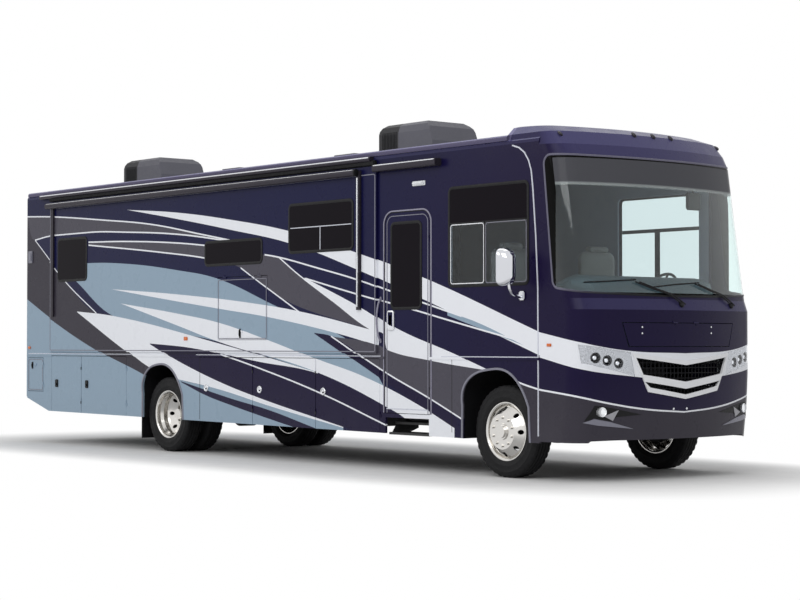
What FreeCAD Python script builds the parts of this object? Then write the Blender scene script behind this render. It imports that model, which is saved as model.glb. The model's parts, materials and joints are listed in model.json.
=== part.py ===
import FreeCAD, Part
import math
import os

from FreeCAD import Vector

# Class-A motorhome with a full-wall slide-out room on the door side.
# Millimetres. X runs forward, Y to the left, Z up. The origin is on the ground under the middle.
# Stations are measured forward from the rear wall, heights from the ground.

# Overall body
REAR_OVERHANG = 3586.0
WHEELBASE = 6280.0
FRONT_OVERHANG = 1347.0
BODY_WIDTH = 2565.0
LADDER_STANDOFF = 110.0
CUT_OVERRUN = 300.0
SEAT_GAP = 0.3
RUN_GAP = 5.0

# Heights
SKIRT_BOTTOM_REAR = 436.0
SKIRT_BOTTOM_FRONT = 372.0
BELT_HEIGHT = 1216.0
CEILING_HEIGHT = 3310.0
ROOF_EDGE_HEIGHT = 3425.0
ROOF_CROWN_HEIGHT = 3530.0
ROOF_EDGE_RADIUS = 60.0
FLOOR_THICKNESS = 86.0

# Walls and skirts
WALL_THICKNESS = 50.0
SKIRT_THICKNESS = 28.0
BELT_TRIM_HEIGHT = 26.0
BELT_TRIM_PROUD = 9.0
REAR_CAP_DEPTH = 85.0
DEPARTURE_LENGTH = 690.0
DEPARTURE_HEIGHT = 629.0

# Basement doors and hatch
REAR_BAY_START = 766.0
REAR_BAY_END = 2711.0
REAR_BAY_SHARES = (0.412, 0.588)
MID_BAY_START = 4419.0
MID_BAY_SHARES = (0.319, 0.351, 0.33)
ENTRY_SKIRT_LENGTH = 76.0
BAY_DOOR_TOP = 1196.0
DOOR_GAP = 7.0
DOOR_LATCH_GAP = 11.0
BAY_GAP = 5.5
LATCH_RADIUS = 21.0
LATCH_PROUD = 9.0
LATCH_INSET = 150.0
LATCH_HEIGHT = 818.0
HATCH_START = 112.0
HATCH_LENGTH = 425.0
HATCH_BOTTOM = 705.0
HATCH_TOP = 1158.0

# Hinges
HINGE_PROUD = 7.0
DOOR_HINGE_PROUD = 9.0
HINGE_BARREL = 5.0
HINGE_PIN = 3.0
HINGE_FIT = 0.4
HINGE_LENGTH = 34.0
HINGE_LEAF = 24.0
HINGE_LEAF_THICKNESS = 5.0

# Storage compartments
STORAGE_INNER = 492.0
STORAGE_PLATE = 12.0
STORAGE_FLOOR_CLEARANCE = 46.0
STORAGE_MOUTH_CLEARANCE = 8.0

# Slide-out room
SLIDE_START = 748.0
SLIDE_TO_DOOR = 112.0
PANEL_SEAM_INSET = 20.0
SLIDE_BOTTOM = 1250.0
SLIDE_TOP = 3296.0
SLIDE_FLANGE = 34.0
SLIDE_FLANGE_THICKNESS = 26.0
SLIDE_RUN_GAP = 9.0
SLIDE_DEPTH = 760.0
SLIDE_PANEL = 42.0

# Entry door
DOOR_WIDTH = 764.0
DOOR_BEHIND_AXLE = 1088.0
DOOR_BOTTOM = 604.0
DOOR_TOP = 2775.0
DOOR_CORNER = 110.0
DOOR_WINDOW_SIDE = 118.0
DOOR_WINDOW_BOTTOM = 1730.0
DOOR_WINDOW_TOP = 2658.0
STEPWELL_DEPTH = 560.0
STEPWELL_TREAD = 270.0
STEPWELL_PLATE = 14.0

# Windows
PANE_THICKNESS = 8.0
PANE_CORNER = 55.0
PANE_PROUD = 3.0
CAB_WINDOW_BEHIND_AXLE = 782.0
CAB_WINDOW_END_GAP = 150.0
CAB_WINDOW_BOTTOM = 1950.0
CAB_WINDOW_TOP = 2980.0

# Start, length, sill and head of each further window, by station
LEFT_WINDOWS = ((1000.0, 760.0, 2208.0, 2780.0), (5000.0, 1400.0, 2100.0, 2860.0))
SLIDE_WINDOWS = ((983.0, 763.0, 2208.0, 2780.0), (4571.0, 1197.0, 2306.0, 2595.0),
                 (6302.0, 1196.0, 2400.0, 2955.0))

# Exterior screen door on the slide
SCREEN_START_SHARE = 0.5725
SCREEN_LENGTH = 1030.0
SCREEN_BOTTOM = 1400.0
SCREEN_TOP = 2160.0
SCREEN_THICKNESS = 22.0

# Wheels and tyres
TYRE_RADIUS = 467.5
TYRE_WIDTH = 235.0
RIM_SEAT_RADIUS = 285.75
RIM_FLANGE_RADIUS = 298.5
RIM_WIDTH = 209.6
RIM_WALL = 9.0
DROP_CENTRE_RADIUS = 258.0
DISC_WALL = 14.0
WHEEL_OUTSET = 1095.0
DUAL_SPACING = 320.0
HAND_HOLE_RADIUS = 24.0
HAND_HOLE_COUNT = 8
LUG_COUNT = 10
LUG_CIRCLE = 143.0
LUG_RADIUS = 16.0
LUG_LENGTH = 30.0
HUB_RADIUS = 84.0
HUB_CAP_RADIUS = 66.0
SPINDLE_RADIUS = 34.0
BEARING_GAP = 1.0

# Front axle and steering
KINGPIN_OUTSET = 930.0
KINGPIN_RADIUS = 20.0
KINGPIN_BOSS_RADIUS = 40.0
KINGPIN_BOSS_HEIGHT = 132.0
BEAM_WIDTH = 76.0
BEAM_HEIGHT = 92.0
BEAM_DROP = 92.0
EAR_THICKNESS = 36.0
EAR_GAP = 1.0
KNUCKLE_PLATE = 22.0
BRAKE_RADIUS = 182.0
BRAKE_WIDTH = 62.0
STEER_ARM_LENGTH = 190.0
STEER_ARM_WIDTH = 44.0
STEER_ARM_THICKNESS = 26.0
TIE_ROD_RADIUS = 17.0
TIE_PIN_RADIUS = 10.0
TIE_EYE_RADIUS = 24.0

# Frame rails
RAIL_OUTSET = 432.0
RAIL_HEIGHT = 236.0
RAIL_TOP = 916.0
RAIL_FLANGE = 76.0
RAIL_WALL = 9.0
RAIL_REAR = 170.0
RAIL_FRONT_SHORT = 330.0
CROSS_MEMBER_WIDTH = 90.0
CROSS_MEMBER_HEIGHT = 110.0
CROSS_MEMBER_SHARES = (0.0, 0.25, 0.40, 0.52, 0.64, 0.755, 1.0)
RISER_SHARES = (0.05, 0.18, 0.31, 0.44, 0.57, 0.70, 0.83, 0.955)
RISER_LENGTH = 120.0
RECEIVER_SIZE = 64.0
RECEIVER_BORE = 51.0
RECEIVER_LENGTH = 300.0
RECEIVER_HEIGHT = 560.0
RECEIVER_REAR = 24.0
HITCH_PIN_RADIUS = 8.0
HITCH_PIN_INSET = 70.0
HITCH_BAR = 60.0
TOW_EYE_RADIUS = 17.0
TOW_PLATE = 18.0

# Springs, rear axle and driveshaft
SPRING_WIDTH = 76.0
SPRING_THICKNESS = 62.0
SPRING_LENGTH = 1330.0
FRONT_SPRING_SAG = 120.0
REAR_SPRING_SAG = 78.0
SPRING_PAD = 40.0
AXLE_TUBE_RADIUS = 64.0
BANJO_RADIUS = 178.0
BANJO_WIDTH = 210.0
REAR_DRUM_RADIUS = 200.0
DRIVESHAFT_RADIUS = 48.0

# Engine, fuel tank and exhaust
ENGINE_AHEAD = 190.0
ENGINE_LENGTH = 600.0
ENGINE_WIDTH = 600.0
ENGINE_BOTTOM = 590.0
ENGINE_TOP = 1112.0
GEARBOX_LENGTH = 800.0
GEARBOX_RADIUS = 150.0
GEARBOX_HEIGHT = 640.0
TANK_START = 1150.0
TANK_LENGTH = 1500.0
TANK_WIDTH = 690.0
TANK_BOTTOM = 545.0
TANK_TOP = 850.0
MUFFLER_LENGTH = 900.0
MUFFLER_RADIUS = 105.0
PIPE_RADIUS = 34.0
EXHAUST_OUTSET = 210.0
EXHAUST_HEIGHT = 570.0

# Front cap
CAP_SEAM_AHEAD = 575.0
CAP_WALL = 18.0
CAP_ARC_RADIUS = 3760.0
CAP_CORNER_RADIUS = 250.0
CAP_BOTTOM = 388.0
CAP_CHIN_HEIGHT = 745.0
CAP_CHIN_SETBACK = 16.0
CAP_BOTTOM_SETBACK = 58.0
CAP_LEDGE_HEIGHT = 1690.0
GLASS_BOTTOM_HEIGHT = 1800.0
GLASS_BOTTOM_SETBACK = 44.0
GLASS_TOP_HEIGHT = 3190.0
GLASS_TOP_SETBACK = 255.0
BROW_RISE = 140.0
BROW_SETBACK = 330.0
BROW_CROWN_RISE = 228.0
BROW_TOP_SETBACK = 900.0
BROW_TOP_INSET = 190.0
BROW_OVER_ROOF = 490.0
GLASS_SIDE_BOTTOM_HEIGHT = 1907.0
GLASS_SIDE_BOTTOM_AHEAD = 197.0
GLASS_SIDE_TOP_RISE = 35.0
GLASS_SIDE_TOP_AHEAD = 60.0
WINDSHIELD_THICKNESS = 8.0
WINDSHIELD_CORNER = 90.0
WINDSHIELD_SINK = 3.0

# Front openings, as half widths and heights
HOOD_TOP = 1566.0
HOOD_BOTTOM = 1324.0
HOOD_TOP_HALF = 818.0
HOOD_BOTTOM_HALF = 742.0
HOOD_SKIN = 3.0
HOOD_SIDE_SHARE = 1.7
HOOD_BACK_INSET = 16.0
HOOD_HINGE_AHEAD = 4.0
HOOD_HINGE_OUTSET = 150.0
LAMP_INNER_TOP = (716.0, 1274.0)
LAMP_OUTER_TOP = (1243.0, 1346.0)
LAMP_OUTER_BOTTOM = (1225.0, 1166.0)
LAMP_INNER_BOTTOM = (664.0, 1034.0)
LAMP_BOWL_RADIUS = 52.0
LAMP_BOWL_OUTSETS = (1100.0, 975.0, 850.0)
LAMP_BOWL_HEIGHTS = (1218.0, 1192.0, 1164.0)
LAMP_BODY_DEPTH = 130.0
LENS_THICKNESS = 5.0
LENS_SINK = 2.0
GRILLE_TOP_HALF = 706.0
GRILLE_TOP = 1262.0
GRILLE_BAR_HALF = 598.0
GRILLE_BAR_TOP = 1052.0
GRILLE_BAR_WIDTH = 70.0
GRILLE_BOTTOM_HALF = 506.0
GRILLE_BOTTOM = 880.0
GRILLE_VEE = 76.0
GRILLE_RIM = 44.0
GRILLE_RIM_PROUD = 12.0
MESH_DEPTH = 8.0
MESH_SINK = 26.0
MESH_BAR = 9.0
MESH_PITCH = 52.0
FOG_OUTSET = 1040.0
FOG_HEIGHT = 690.0
FOG_RADIUS = 46.0

# Rear cap
REAR_ARC_RADIUS = 36000.0
REAR_CORNER_RADIUS = 62.0
REAR_CAP_WALL = 26.0
REAR_CAP_BOTTOM = 622.0
REAR_BROW_HEIGHT = 3380.0
REAR_TOP_SETBACK = 48.0
TAIL_LAMP_OUTSET = 1090.0
TAIL_LAMP_HALF = 62.0
TAIL_LAMP_BOTTOM = 860.0
TAIL_LAMP_TOP = 1180.0
LAMP_PROUD = 7.0

# Roof equipment
COOLER_LENGTH = 960.0
COOLER_WIDTH = 700.0
COOLER_HEIGHT = 370.0
COOLER_REAR_STATION = 1110.0
COOLER_FRONT_STATION = 6764.0
COOLER_SLOPE = 170.0
COOLER_RADIUS = 70.0
VENT_SIZE = 420.0
VENT_HEIGHT = 110.0
VENT_STATIONS = (3300.0, 5700.0)

# Clearance lamps on the brow
BROW_LAMP_OUTSETS = (-1150.0, -270.0, 0.0, 270.0, 1150.0)
BROW_LAMP_LENGTH = 110.0
BROW_LAMP_WIDTH = 44.0
BROW_LAMP_HEIGHT = 34.0
MARKER_LENGTH = 62.0
MARKER_WIDTH = 30.0
MARKER_HEIGHT = 1404.0
MARKER_STATION = 4116.0
CAP_MARKER_HEIGHT = 1327.0

# Mirrors and wipers
MIRROR_OUTSET = 1520.0
MIRROR_HALF_WIDTH = 98.0
MIRROR_DEPTH = 116.0
MIRROR_BOTTOM = 1936.0
MIRROR_TOP = 2312.0
MIRROR_AHEAD = 388.0
MIRROR_FOOT_AHEAD = 329.0
MIRROR_FOOT_HEIGHT = 1822.0
MIRROR_ARM_RADIUS = 17.0
WIPER_PIVOTS = (-40.0, 880.0)
WIPER_PIVOT_HEIGHT = 1745.0
WIPER_ARM_LENGTH = 640.0
WIPER_BLADE_LENGTH = 700.0
WIPER_BLADE_HEIGHT = 1960.0
WIPER_SECTION = 14.0
WIPER_GAP = 4.0

# Awnings and topper
AWNING_RADIUS = 40.0
AWNING_HEIGHT = 3238.0
AWNING_START = 756.0
AWNING_END_BACK = 300.0
AWNING_ARM_WIDTH = 62.0
AWNING_ARM_DEPTH = 26.0
AWNING_ARM_BOTTOM = 1728.0
AWNING_STANDOFF = 12.0
TOPPER_RADIUS = 29.0
TOPPER_HEIGHT = 3372.0
TOPPER_START = 520.0
DOOR_AWNING_HEIGHT = 3262.0
DOOR_AWNING_LENGTH = 1053.0
DOOR_AWNING_BEHIND = 104.0

# Grab handle
GRAB_RADIUS = 14.0
GRAB_BOTTOM = 1390.0
GRAB_TOP = 1840.0
GRAB_STANDOFF = 62.0

# Entry steps
STEP_RECESS = 18.0
STEP_LINTEL = 44.0
STEP_LENGTH = 650.0
STEP_TREAD = 240.0
STEP_PLATE = 26.0
STEP_SIDE = 8.0
STEP_RISE = 110.0
STEP_NOSE = 1262.0
STEP_UPPER_BACK = 90.0
STEP_LOWER_TOP = 402.0
STEP_PIVOT_SIDE = 1060.0
STEP_PIVOT_HEIGHT = 556.0
STEP_ARM_LENGTH = 196.0
STEP_ARM_WIDTH = 34.0
STEP_STOW_ANGLE = 26.0
STEP_PIN_RADIUS = 7.0
STEP_SIDE_GAP = 4.0

# Ladder
LADDER_OUTSET = 760.0
LADDER_HALF_WIDTH = 170.0
LADDER_TUBE_RADIUS = 13.0
LADDER_BOTTOM = 980.0
LADDER_RUNG_COUNT = 7
LADDER_ROOF_REACH = 230.0
LADDER_ROOF_RISE = 70.0

# Mud flaps and wheel liners
FLAP_BEHIND = 545.0
FLAP_BOTTOM = 150.0
FLAP_THICKNESS = 10.0
LINER_THICKNESS = 8.0
LINER_INNER_REAR = 560.0
LINER_INNER_FRONT = 640.0
LINER_FRONT_REACH = 555.0

# Arch outlines around the axle, as shares of the arch height and length
ARCH_HEIGHT = 632.0
ARCH_REAR_LENGTH = 488.0
ARCH_FRONT_LENGTH = 484.0
FRONT_ARCH_REAR_LENGTH = 582.0
FRONT_ARCH_FRONT_LENGTH = 460.0
REAR_ARCH_SHARES = ((1.0, -0.06), (0.985, 0.4), (0.86, 0.8), (0.62, 0.93), (0.28, 0.99), (0.0, 1.0),
                    (-0.33, 0.93), (-0.71, 0.68), (-0.92, 0.4), (-1.0, -0.06))

# Cab interior
DASH_BEHIND_SEAM = 90.0
DASH_DEPTH = 520.0
DASH_TOP = 1770.0
DASH_BOTTOM = 1420.0
SEAT_OUTSET = 640.0
SEAT_WIDTH = 560.0
SEAT_LENGTH = 540.0
SEAT_CUSHION_BOTTOM = 1540.0
SEAT_CUSHION_TOP = 1690.0
SEAT_BACK_TOP = 2420.0
SEAT_BACK_THICKNESS = 150.0
SEAT_PEDESTAL_HALF = 170.0
WHEEL_RIM_RADIUS = 225.0
WHEEL_RIM_TUBE = 15.0
WHEEL_HUB_RADIUS = 62.0
COLUMN_TILT = 55.0
COLUMN_RADIUS = 28.0
COLUMN_LENGTH = 330.0
STEERING_OUTSET = 640.0
STEERING_HEIGHT = 1905.0
STEERING_AHEAD = 395.0

# Heights worked out from the sizes above
BROW_HEIGHT = GLASS_TOP_HEIGHT + BROW_RISE
BROW_TOP_HEIGHT = BROW_HEIGHT + BROW_CROWN_RISE
GLASS_SIDE_TOP_HEIGHT = GLASS_TOP_HEIGHT + GLASS_SIDE_TOP_RISE

# Stations worked out from the sizes above
REAR_AXLE = REAR_OVERHANG
FRONT_AXLE = REAR_AXLE + WHEELBASE
NOSE = FRONT_AXLE + FRONT_OVERHANG
CAP_SEAM = FRONT_AXLE + CAP_SEAM_AHEAD
DOOR_FRONT = FRONT_AXLE - DOOR_BEHIND_AXLE
DOOR_REAR = DOOR_FRONT - DOOR_WIDTH
SLIDE_END = DOOR_REAR - SLIDE_TO_DOOR
MID_BAY_END = DOOR_REAR - ENTRY_SKIRT_LENGTH
HALF_WIDTH = BODY_WIDTH / 2
INNER_HALF = HALF_WIDTH - WALL_THICKNESS
FLOOR_BOTTOM = BELT_HEIGHT - FLOOR_THICKNESS
ORIGIN_STATION = (NOSE + GRILLE_RIM_PROUD - LADDER_STANDOFF) / 2
AXLE_HEIGHT = TYRE_RADIUS


# Plain helpers

def box(x0, x1, y0, y1, z0, z1):
    return Part.makeBox(x1 - x0, y1 - y0, z1 - z0, Vector(x0, y0, z0))


def cylinder(radius, start, end):
    axis = end - start
    return Part.makeCylinder(radius, axis.Length, start, axis)


def polygon(points):
    return Part.makePolygon(points + [points[0]])


def prism_y(outline, y0, y1):
    """Extrudes an outline of (station, height) points across the body."""
    wire = polygon([Vector(x, y0, z) for x, z in outline])
    return Part.Face(wire).extrude(Vector(0, y1 - y0, 0))


def prism_x(outline, x0, x1):
    """Extrudes an outline of (side, height) points along the body."""
    wire = polygon([Vector(x0, y, z) for y, z in outline])
    return Part.Face(wire).extrude(Vector(x1 - x0, 0, 0))


def mirrored(shape):
    return shape.mirror(Vector(0, 0, 0), Vector(0, 1, 0))


def both_sides(shape):
    return [shape, mirrored(shape)]


def joined(shapes):
    result = shapes[0]
    if len(shapes) > 1:
        result = shapes[0].fuse(shapes[1:])
    return result.removeSplitter()


def rounded_box(x0, x1, y0, y1, z0, z1, radius, axis):
    """A box with its four edges along one axis rounded."""
    solid = box(x0, x1, y0, y1, z0, z1)
    edges = []
    for edge in solid.Edges:
        direction = edge.tangentAt(edge.FirstParameter)
        if abs(abs(direction.dot(axis)) - 1) < 0.001:
            edges.append(edge)
    return solid.makeFillet(radius, edges)


def revolved_y(profile, centre):
    """Turns a (radius, side) profile about the wheel axis through centre."""
    wire = polygon([centre + Vector(r, u, 0) for r, u in profile])
    return Part.Face(wire).revolve(centre, Vector(0, 1, 0), 360)


def save(name, shapes):
    """Places the pieces in the body's own frame and writes them as one file."""
    placed = []
    for shape in shapes:
        copy = shape.copy()
        copy.translate(Vector(-ORIGIN_STATION, 0, 0))
        placed.extend(copy.Solids)
    Part.makeCompound(placed).exportStep("parts/" + name + ".step")


def skirt_bottom(station):
    share = (station - DEPARTURE_LENGTH) / (CAP_SEAM - DEPARTURE_LENGTH)
    return SKIRT_BOTTOM_REAR + (SKIRT_BOTTOM_FRONT - SKIRT_BOTTOM_REAR) * share


# Body cross-sections in plan

def cap_section(height, nose, half, corner, back):
    """A plan outline with a bowed front, rounded corners and straight sides."""
    arc_centre = nose - CAP_ARC_RADIUS
    reach = math.sqrt((CAP_ARC_RADIUS - corner) ** 2 - (half - corner) ** 2)
    corner_x = arc_centre + reach
    lean = math.atan2(half - corner, reach)
    meet = Vector(arc_centre + CAP_ARC_RADIUS * math.cos(lean), CAP_ARC_RADIUS * math.sin(lean), height)
    mid_lean = (lean + math.pi / 2) / 2
    mid = Vector(corner_x + corner * math.cos(mid_lean),
                 half - corner + corner * math.sin(mid_lean), height)
    side = Vector(corner_x, half, height)
    rear = Vector(back, half, height)

    def flip(point):
        return Vector(point.x, -point.y, point.z)

    edges = [
        Part.LineSegment(flip(rear), flip(side)).toShape(),
        Part.Arc(flip(side), flip(mid), flip(meet)).toShape(),
        Part.Arc(flip(meet), Vector(nose, 0, height), meet).toShape(),
        Part.Arc(meet, mid, side).toShape(),
        Part.LineSegment(side, rear).toShape(),
        Part.LineSegment(rear, flip(rear)).toShape(),
    ]
    return Part.Wire(edges)


def cap_stations():
    """Height, setback of the nose and inset of the sides, from the bottom to the brow."""
    brow_rise = BROW_TOP_HEIGHT - BROW_HEIGHT
    brow_back = BROW_TOP_SETBACK - BROW_SETBACK
    rows = [
        (CAP_BOTTOM, CAP_BOTTOM_SETBACK, 0),
        (CAP_CHIN_HEIGHT, CAP_CHIN_SETBACK, 0),
        (GRILLE_BAR_TOP, 0, 0),
        (CAP_LEDGE_HEIGHT, 0, 0),
        (GLASS_BOTTOM_HEIGHT, GLASS_BOTTOM_SETBACK, 0),
        (GLASS_TOP_HEIGHT, GLASS_TOP_SETBACK, 0),
        (BROW_HEIGHT, BROW_SETBACK, 0),
    ]
    for share in (0.4, 0.75, 1.0):
        turn = share * math.pi / 2
        rows.append((BROW_HEIGHT + brow_rise * math.sin(turn),
                     BROW_SETBACK + brow_back * (1 - math.cos(turn)),
                     BROW_TOP_INSET * (1 - math.cos(turn))))
    return rows


def cap_body(inset, back):
    """The cap's volume, drawn in from the outside by a wall thickness."""
    wires = []
    rows = cap_stations()
    for height, setback, side_inset in rows:
        level = height
        if height == rows[-1][0]:
            level = height - inset
        wires.append(cap_section(level, NOSE - setback - inset, HALF_WIDTH - side_inset - inset,
                                 CAP_CORNER_RADIUS - inset, back))
    if inset:
        low = rows[0]
        wires[0] = cap_section(low[0] - CUT_OVERRUN, NOSE - low[1] - inset, HALF_WIDTH - inset,
                               CAP_CORNER_RADIUS - inset, back)
    return Part.makeLoft(wires, True, True)


def cap_skin(outer_inset, inner_inset, outline):
    """The part of the cap between two insets that lies inside an outline."""
    solid = cap_body(outer_inset, CAP_SEAM).common(outline)
    return solid.cut(cap_body(inner_inset, CAP_SEAM - CUT_OVERRUN))


def front_outline(points, start):
    """A prism over a front-view outline, reaching forward from a station."""
    return prism_x(points, start, NOSE + CUT_OVERRUN)


# Hinges

def hinge(centre, axis, fixed_way, outward, proud, post=0):
    """A fixed leaf or inward post with its pin, a moving leaf with its barrel, and the bore."""
    radius = HINGE_BARREL
    length = HINGE_LENGTH
    foot = outward * -proud
    top = foot + outward * HINGE_LEAF_THICKNESS

    def leaf(way, start, end):
        corners = [centre + foot, centre + foot + way * HINGE_LEAF, centre + top + way * HINGE_LEAF,
                   centre + top]
        wire = polygon([corner + axis * start for corner in corners])
        return Part.Face(wire).extrude(axis * (end - start))

    gap = HINGE_FIT / 2
    plate = leaf(fixed_way, -length, -gap)
    if post:
        half = fixed_way * (HINGE_LEAF_THICKNESS / 2)
        inner = outward * -post
        wire = polygon([centre + axis * -length + spot for spot in (half, half * -1, inner - half,
                                                                    inner + half)])
        plate = Part.Face(wire).extrude(axis * (length - gap))
    fixed = [plate, cylinder(radius, centre - axis * length, centre - axis * gap),
             cylinder(HINGE_PIN, centre - axis * length, centre + axis * length)]
    moving = [leaf(fixed_way * -1, gap, length),
              cylinder(radius, centre + axis * gap, centre + axis * length)]
    bore = cylinder(HINGE_PIN + HINGE_FIT, centre, centre + axis * (length + HINGE_LEAF))
    return fixed, moving, bore


def hang(panel, frame, hinges):
    """Joins each hinge's moving leaf to a panel and its fixed leaf to the frame."""
    leaves, plates, bores = [], [], []
    for fixed, moving, bore in hinges:
        plates += fixed
        leaves += moving
        bores.append(bore)
    hung = joined([panel] + leaves).cut(bores) if panel else None
    return hung, joined([frame] + plates) if frame else None


def upright_hinges(station, proud, levels, post=0):
    """Hinges on the left wall face whose fixed leaf points forward."""
    up, ahead, out = Vector(0, 0, 1), Vector(1, 0, 0), Vector(0, 1, 0)
    return [hinge(Vector(station, HALF_WIDTH + proud, z), up, ahead, out, proud, post) for z in levels]


def bay_hinges(end, post=0):
    reach = BAY_DOOR_TOP - SKIRT_BOTTOM_REAR
    return upright_hinges(end, HINGE_PROUD, [BAY_DOOR_TOP - reach * share for share in (0.2, 0.8)], post)


def hatch_hinges():
    reach = HATCH_TOP - HATCH_BOTTOM
    station = HATCH_START + HATCH_LENGTH + DOOR_GAP / 2
    return upright_hinges(station, HINGE_PROUD, [HATCH_BOTTOM + reach * share for share in (0.2, 0.8)])


def entry_hinges():
    reach = DOOR_TOP - DOOR_BOTTOM
    station = DOOR_FRONT - DOOR_GAP / 2
    return upright_hinges(station, DOOR_HINGE_PROUD,
                          [DOOR_BOTTOM + reach * share for share in (0.12, 0.5, 0.86)])


def screen_hinges():
    """Hinges along the head of the outer screen door, fixed above it."""
    start, end, low, high = screen_door_bounds()
    level = high - DOOR_GAP / 2
    face = slide_face()
    return [hinge(Vector(start + (end - start) * share, face + HINGE_PROUD, level), Vector(1, 0, 0),
                  Vector(0, 0, 1), Vector(0, 1, 0), HINGE_PROUD) for share in (0.15, 0.85)]


def hood_hinges():
    """Hinges along the head of the front access panel, fixed above it."""
    pairs = []
    for side in (-1, 1):
        y = side * HOOD_HINGE_OUTSET
        proud = HOOD_HINGE_AHEAD + NOSE - cap_front(HOOD_HINGE_OUTSET + HINGE_LENGTH)
        centre = Vector(NOSE + HOOD_HINGE_AHEAD, y, HOOD_TOP - DOOR_GAP / 2)
        pairs.append(hinge(centre, Vector(0, 1, 0), Vector(0, 0, 1), Vector(1, 0, 0), proud))
    return pairs


# Tyres and wheels

def tyre(centre):
    half = TYRE_WIDTH / 2
    tread = half * 0.86
    bead = RIM_SEAT_RADIUS + SEAT_GAP
    rim_half = RIM_WIDTH / 2 - RIM_WALL - SEAT_GAP
    rise = TYRE_RADIUS - bead
    profile = [
        (bead, -rim_half), (RIM_FLANGE_RADIUS + SEAT_GAP, -rim_half), (bead + rise * 0.2, -half * 0.94),
        (bead + rise * 0.46, -half),
        (bead + rise * 0.8, -half * 0.96), (TYRE_RADIUS - rise * 0.06, -tread),
        (TYRE_RADIUS, -tread * 0.9), (TYRE_RADIUS, tread * 0.9),
        (TYRE_RADIUS - rise * 0.06, tread), (bead + rise * 0.8, half * 0.96),
        (bead + rise * 0.46, half), (bead + rise * 0.2, half * 0.94),
        (RIM_FLANGE_RADIUS + SEAT_GAP, rim_half), (bead, rim_half),
    ]
    return revolved_y(profile, centre)


def rim_barrel(centre):
    half = RIM_WIDTH / 2
    inner = RIM_SEAT_RADIUS - RIM_WALL
    well = DROP_CENTRE_RADIUS
    profile = [
        (inner, -half + RIM_WALL), (RIM_FLANGE_RADIUS - RIM_WALL, -half), (RIM_FLANGE_RADIUS, -half),
        (RIM_FLANGE_RADIUS, -half + RIM_WALL), (RIM_SEAT_RADIUS, -half + RIM_WALL),
        (RIM_SEAT_RADIUS, -half * 0.6), (well + RIM_WALL, -half * 0.3), (well + RIM_WALL, half * 0.1),
        (RIM_SEAT_RADIUS, half * 0.45), (RIM_SEAT_RADIUS, half - RIM_WALL),
        (RIM_FLANGE_RADIUS, half - RIM_WALL), (RIM_FLANGE_RADIUS, half),
        (RIM_FLANGE_RADIUS - RIM_WALL, half), (inner, half - RIM_WALL),
        (inner, half * 0.45), (well, half * 0.1), (well, -half * 0.3), (inner, -half * 0.6),
    ]
    return revolved_y(profile, centre)


def wheel_disc(centre, face, rim_side, sign):
    """A dished disc from the hub face out to the rim, with hand holes."""
    bore = HUB_RADIUS
    outer = RIM_SEAT_RADIUS - RIM_WALL * 0.5
    flat = LUG_CIRCLE + HAND_HOLE_RADIUS * 1.6
    wall = DISC_WALL * sign
    profile = [
        (bore, face), (flat, face), (outer - HAND_HOLE_RADIUS, face + (rim_side - face) * 0.72),
        (outer, rim_side), (outer, rim_side - wall),
        (outer - HAND_HOLE_RADIUS, face + (rim_side - face) * 0.72 - wall), (flat, face - wall),
        (bore, face - wall),
    ]
    disc = revolved_y(profile, centre)
    holes = []
    ring = (flat + outer) / 2
    for index in range(HAND_HOLE_COUNT):
        angle = 2 * math.pi * index / HAND_HOLE_COUNT
        spot = centre + Vector(ring * math.cos(angle), 0, ring * math.sin(angle))
        reach = Vector(0, WHEEL_OUTSET, 0)
        holes.append(cylinder(HAND_HOLE_RADIUS, spot - reach, spot + reach))
    return disc.cut(holes)


def lug_nuts(centre, start, end):
    nuts = []
    for index in range(LUG_COUNT):
        angle = 2 * math.pi * (index + 0.5) / LUG_COUNT
        spot = centre + Vector(LUG_CIRCLE * math.cos(angle), 0, LUG_CIRCLE * math.sin(angle))
        nuts.append(cylinder(LUG_RADIUS, spot + Vector(0, start, 0), spot + Vector(0, end, 0)))
    return nuts


def front_wheel():
    """The left front wheel with its hub around the spindle."""
    centre = Vector(FRONT_AXLE, WHEEL_OUTSET, AXLE_HEIGHT)
    face = DUAL_SPACING / 2
    disc = wheel_disc(centre, face, RIM_WIDTH / 2 * 0.62, 1)
    hub_inner = KNUCKLE_PLATE + BRAKE_WIDTH + KINGPIN_OUTSET - WHEEL_OUTSET
    hub_start = hub_inner + KINGPIN_BOSS_RADIUS + RUN_GAP * 2
    hub = cylinder(HUB_RADIUS, centre + Vector(0, hub_start, 0),
                   centre + Vector(0, face + LUG_LENGTH / 2, 0))
    cap = cylinder(HUB_CAP_RADIUS, centre + Vector(0, face, 0), centre + Vector(0, face + LUG_LENGTH, 0))
    wheel = joined([rim_barrel(centre), disc, hub, cap] + lug_nuts(centre, face - DISC_WALL,
                                                                   face + LUG_LENGTH * 0.6))
    bore_end = face - DISC_WALL
    bore = cylinder(SPINDLE_RADIUS + BEARING_GAP, centre + Vector(0, hub_start, 0),
                    centre + Vector(0, bore_end, 0))
    return wheel.cut(bore)


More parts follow.
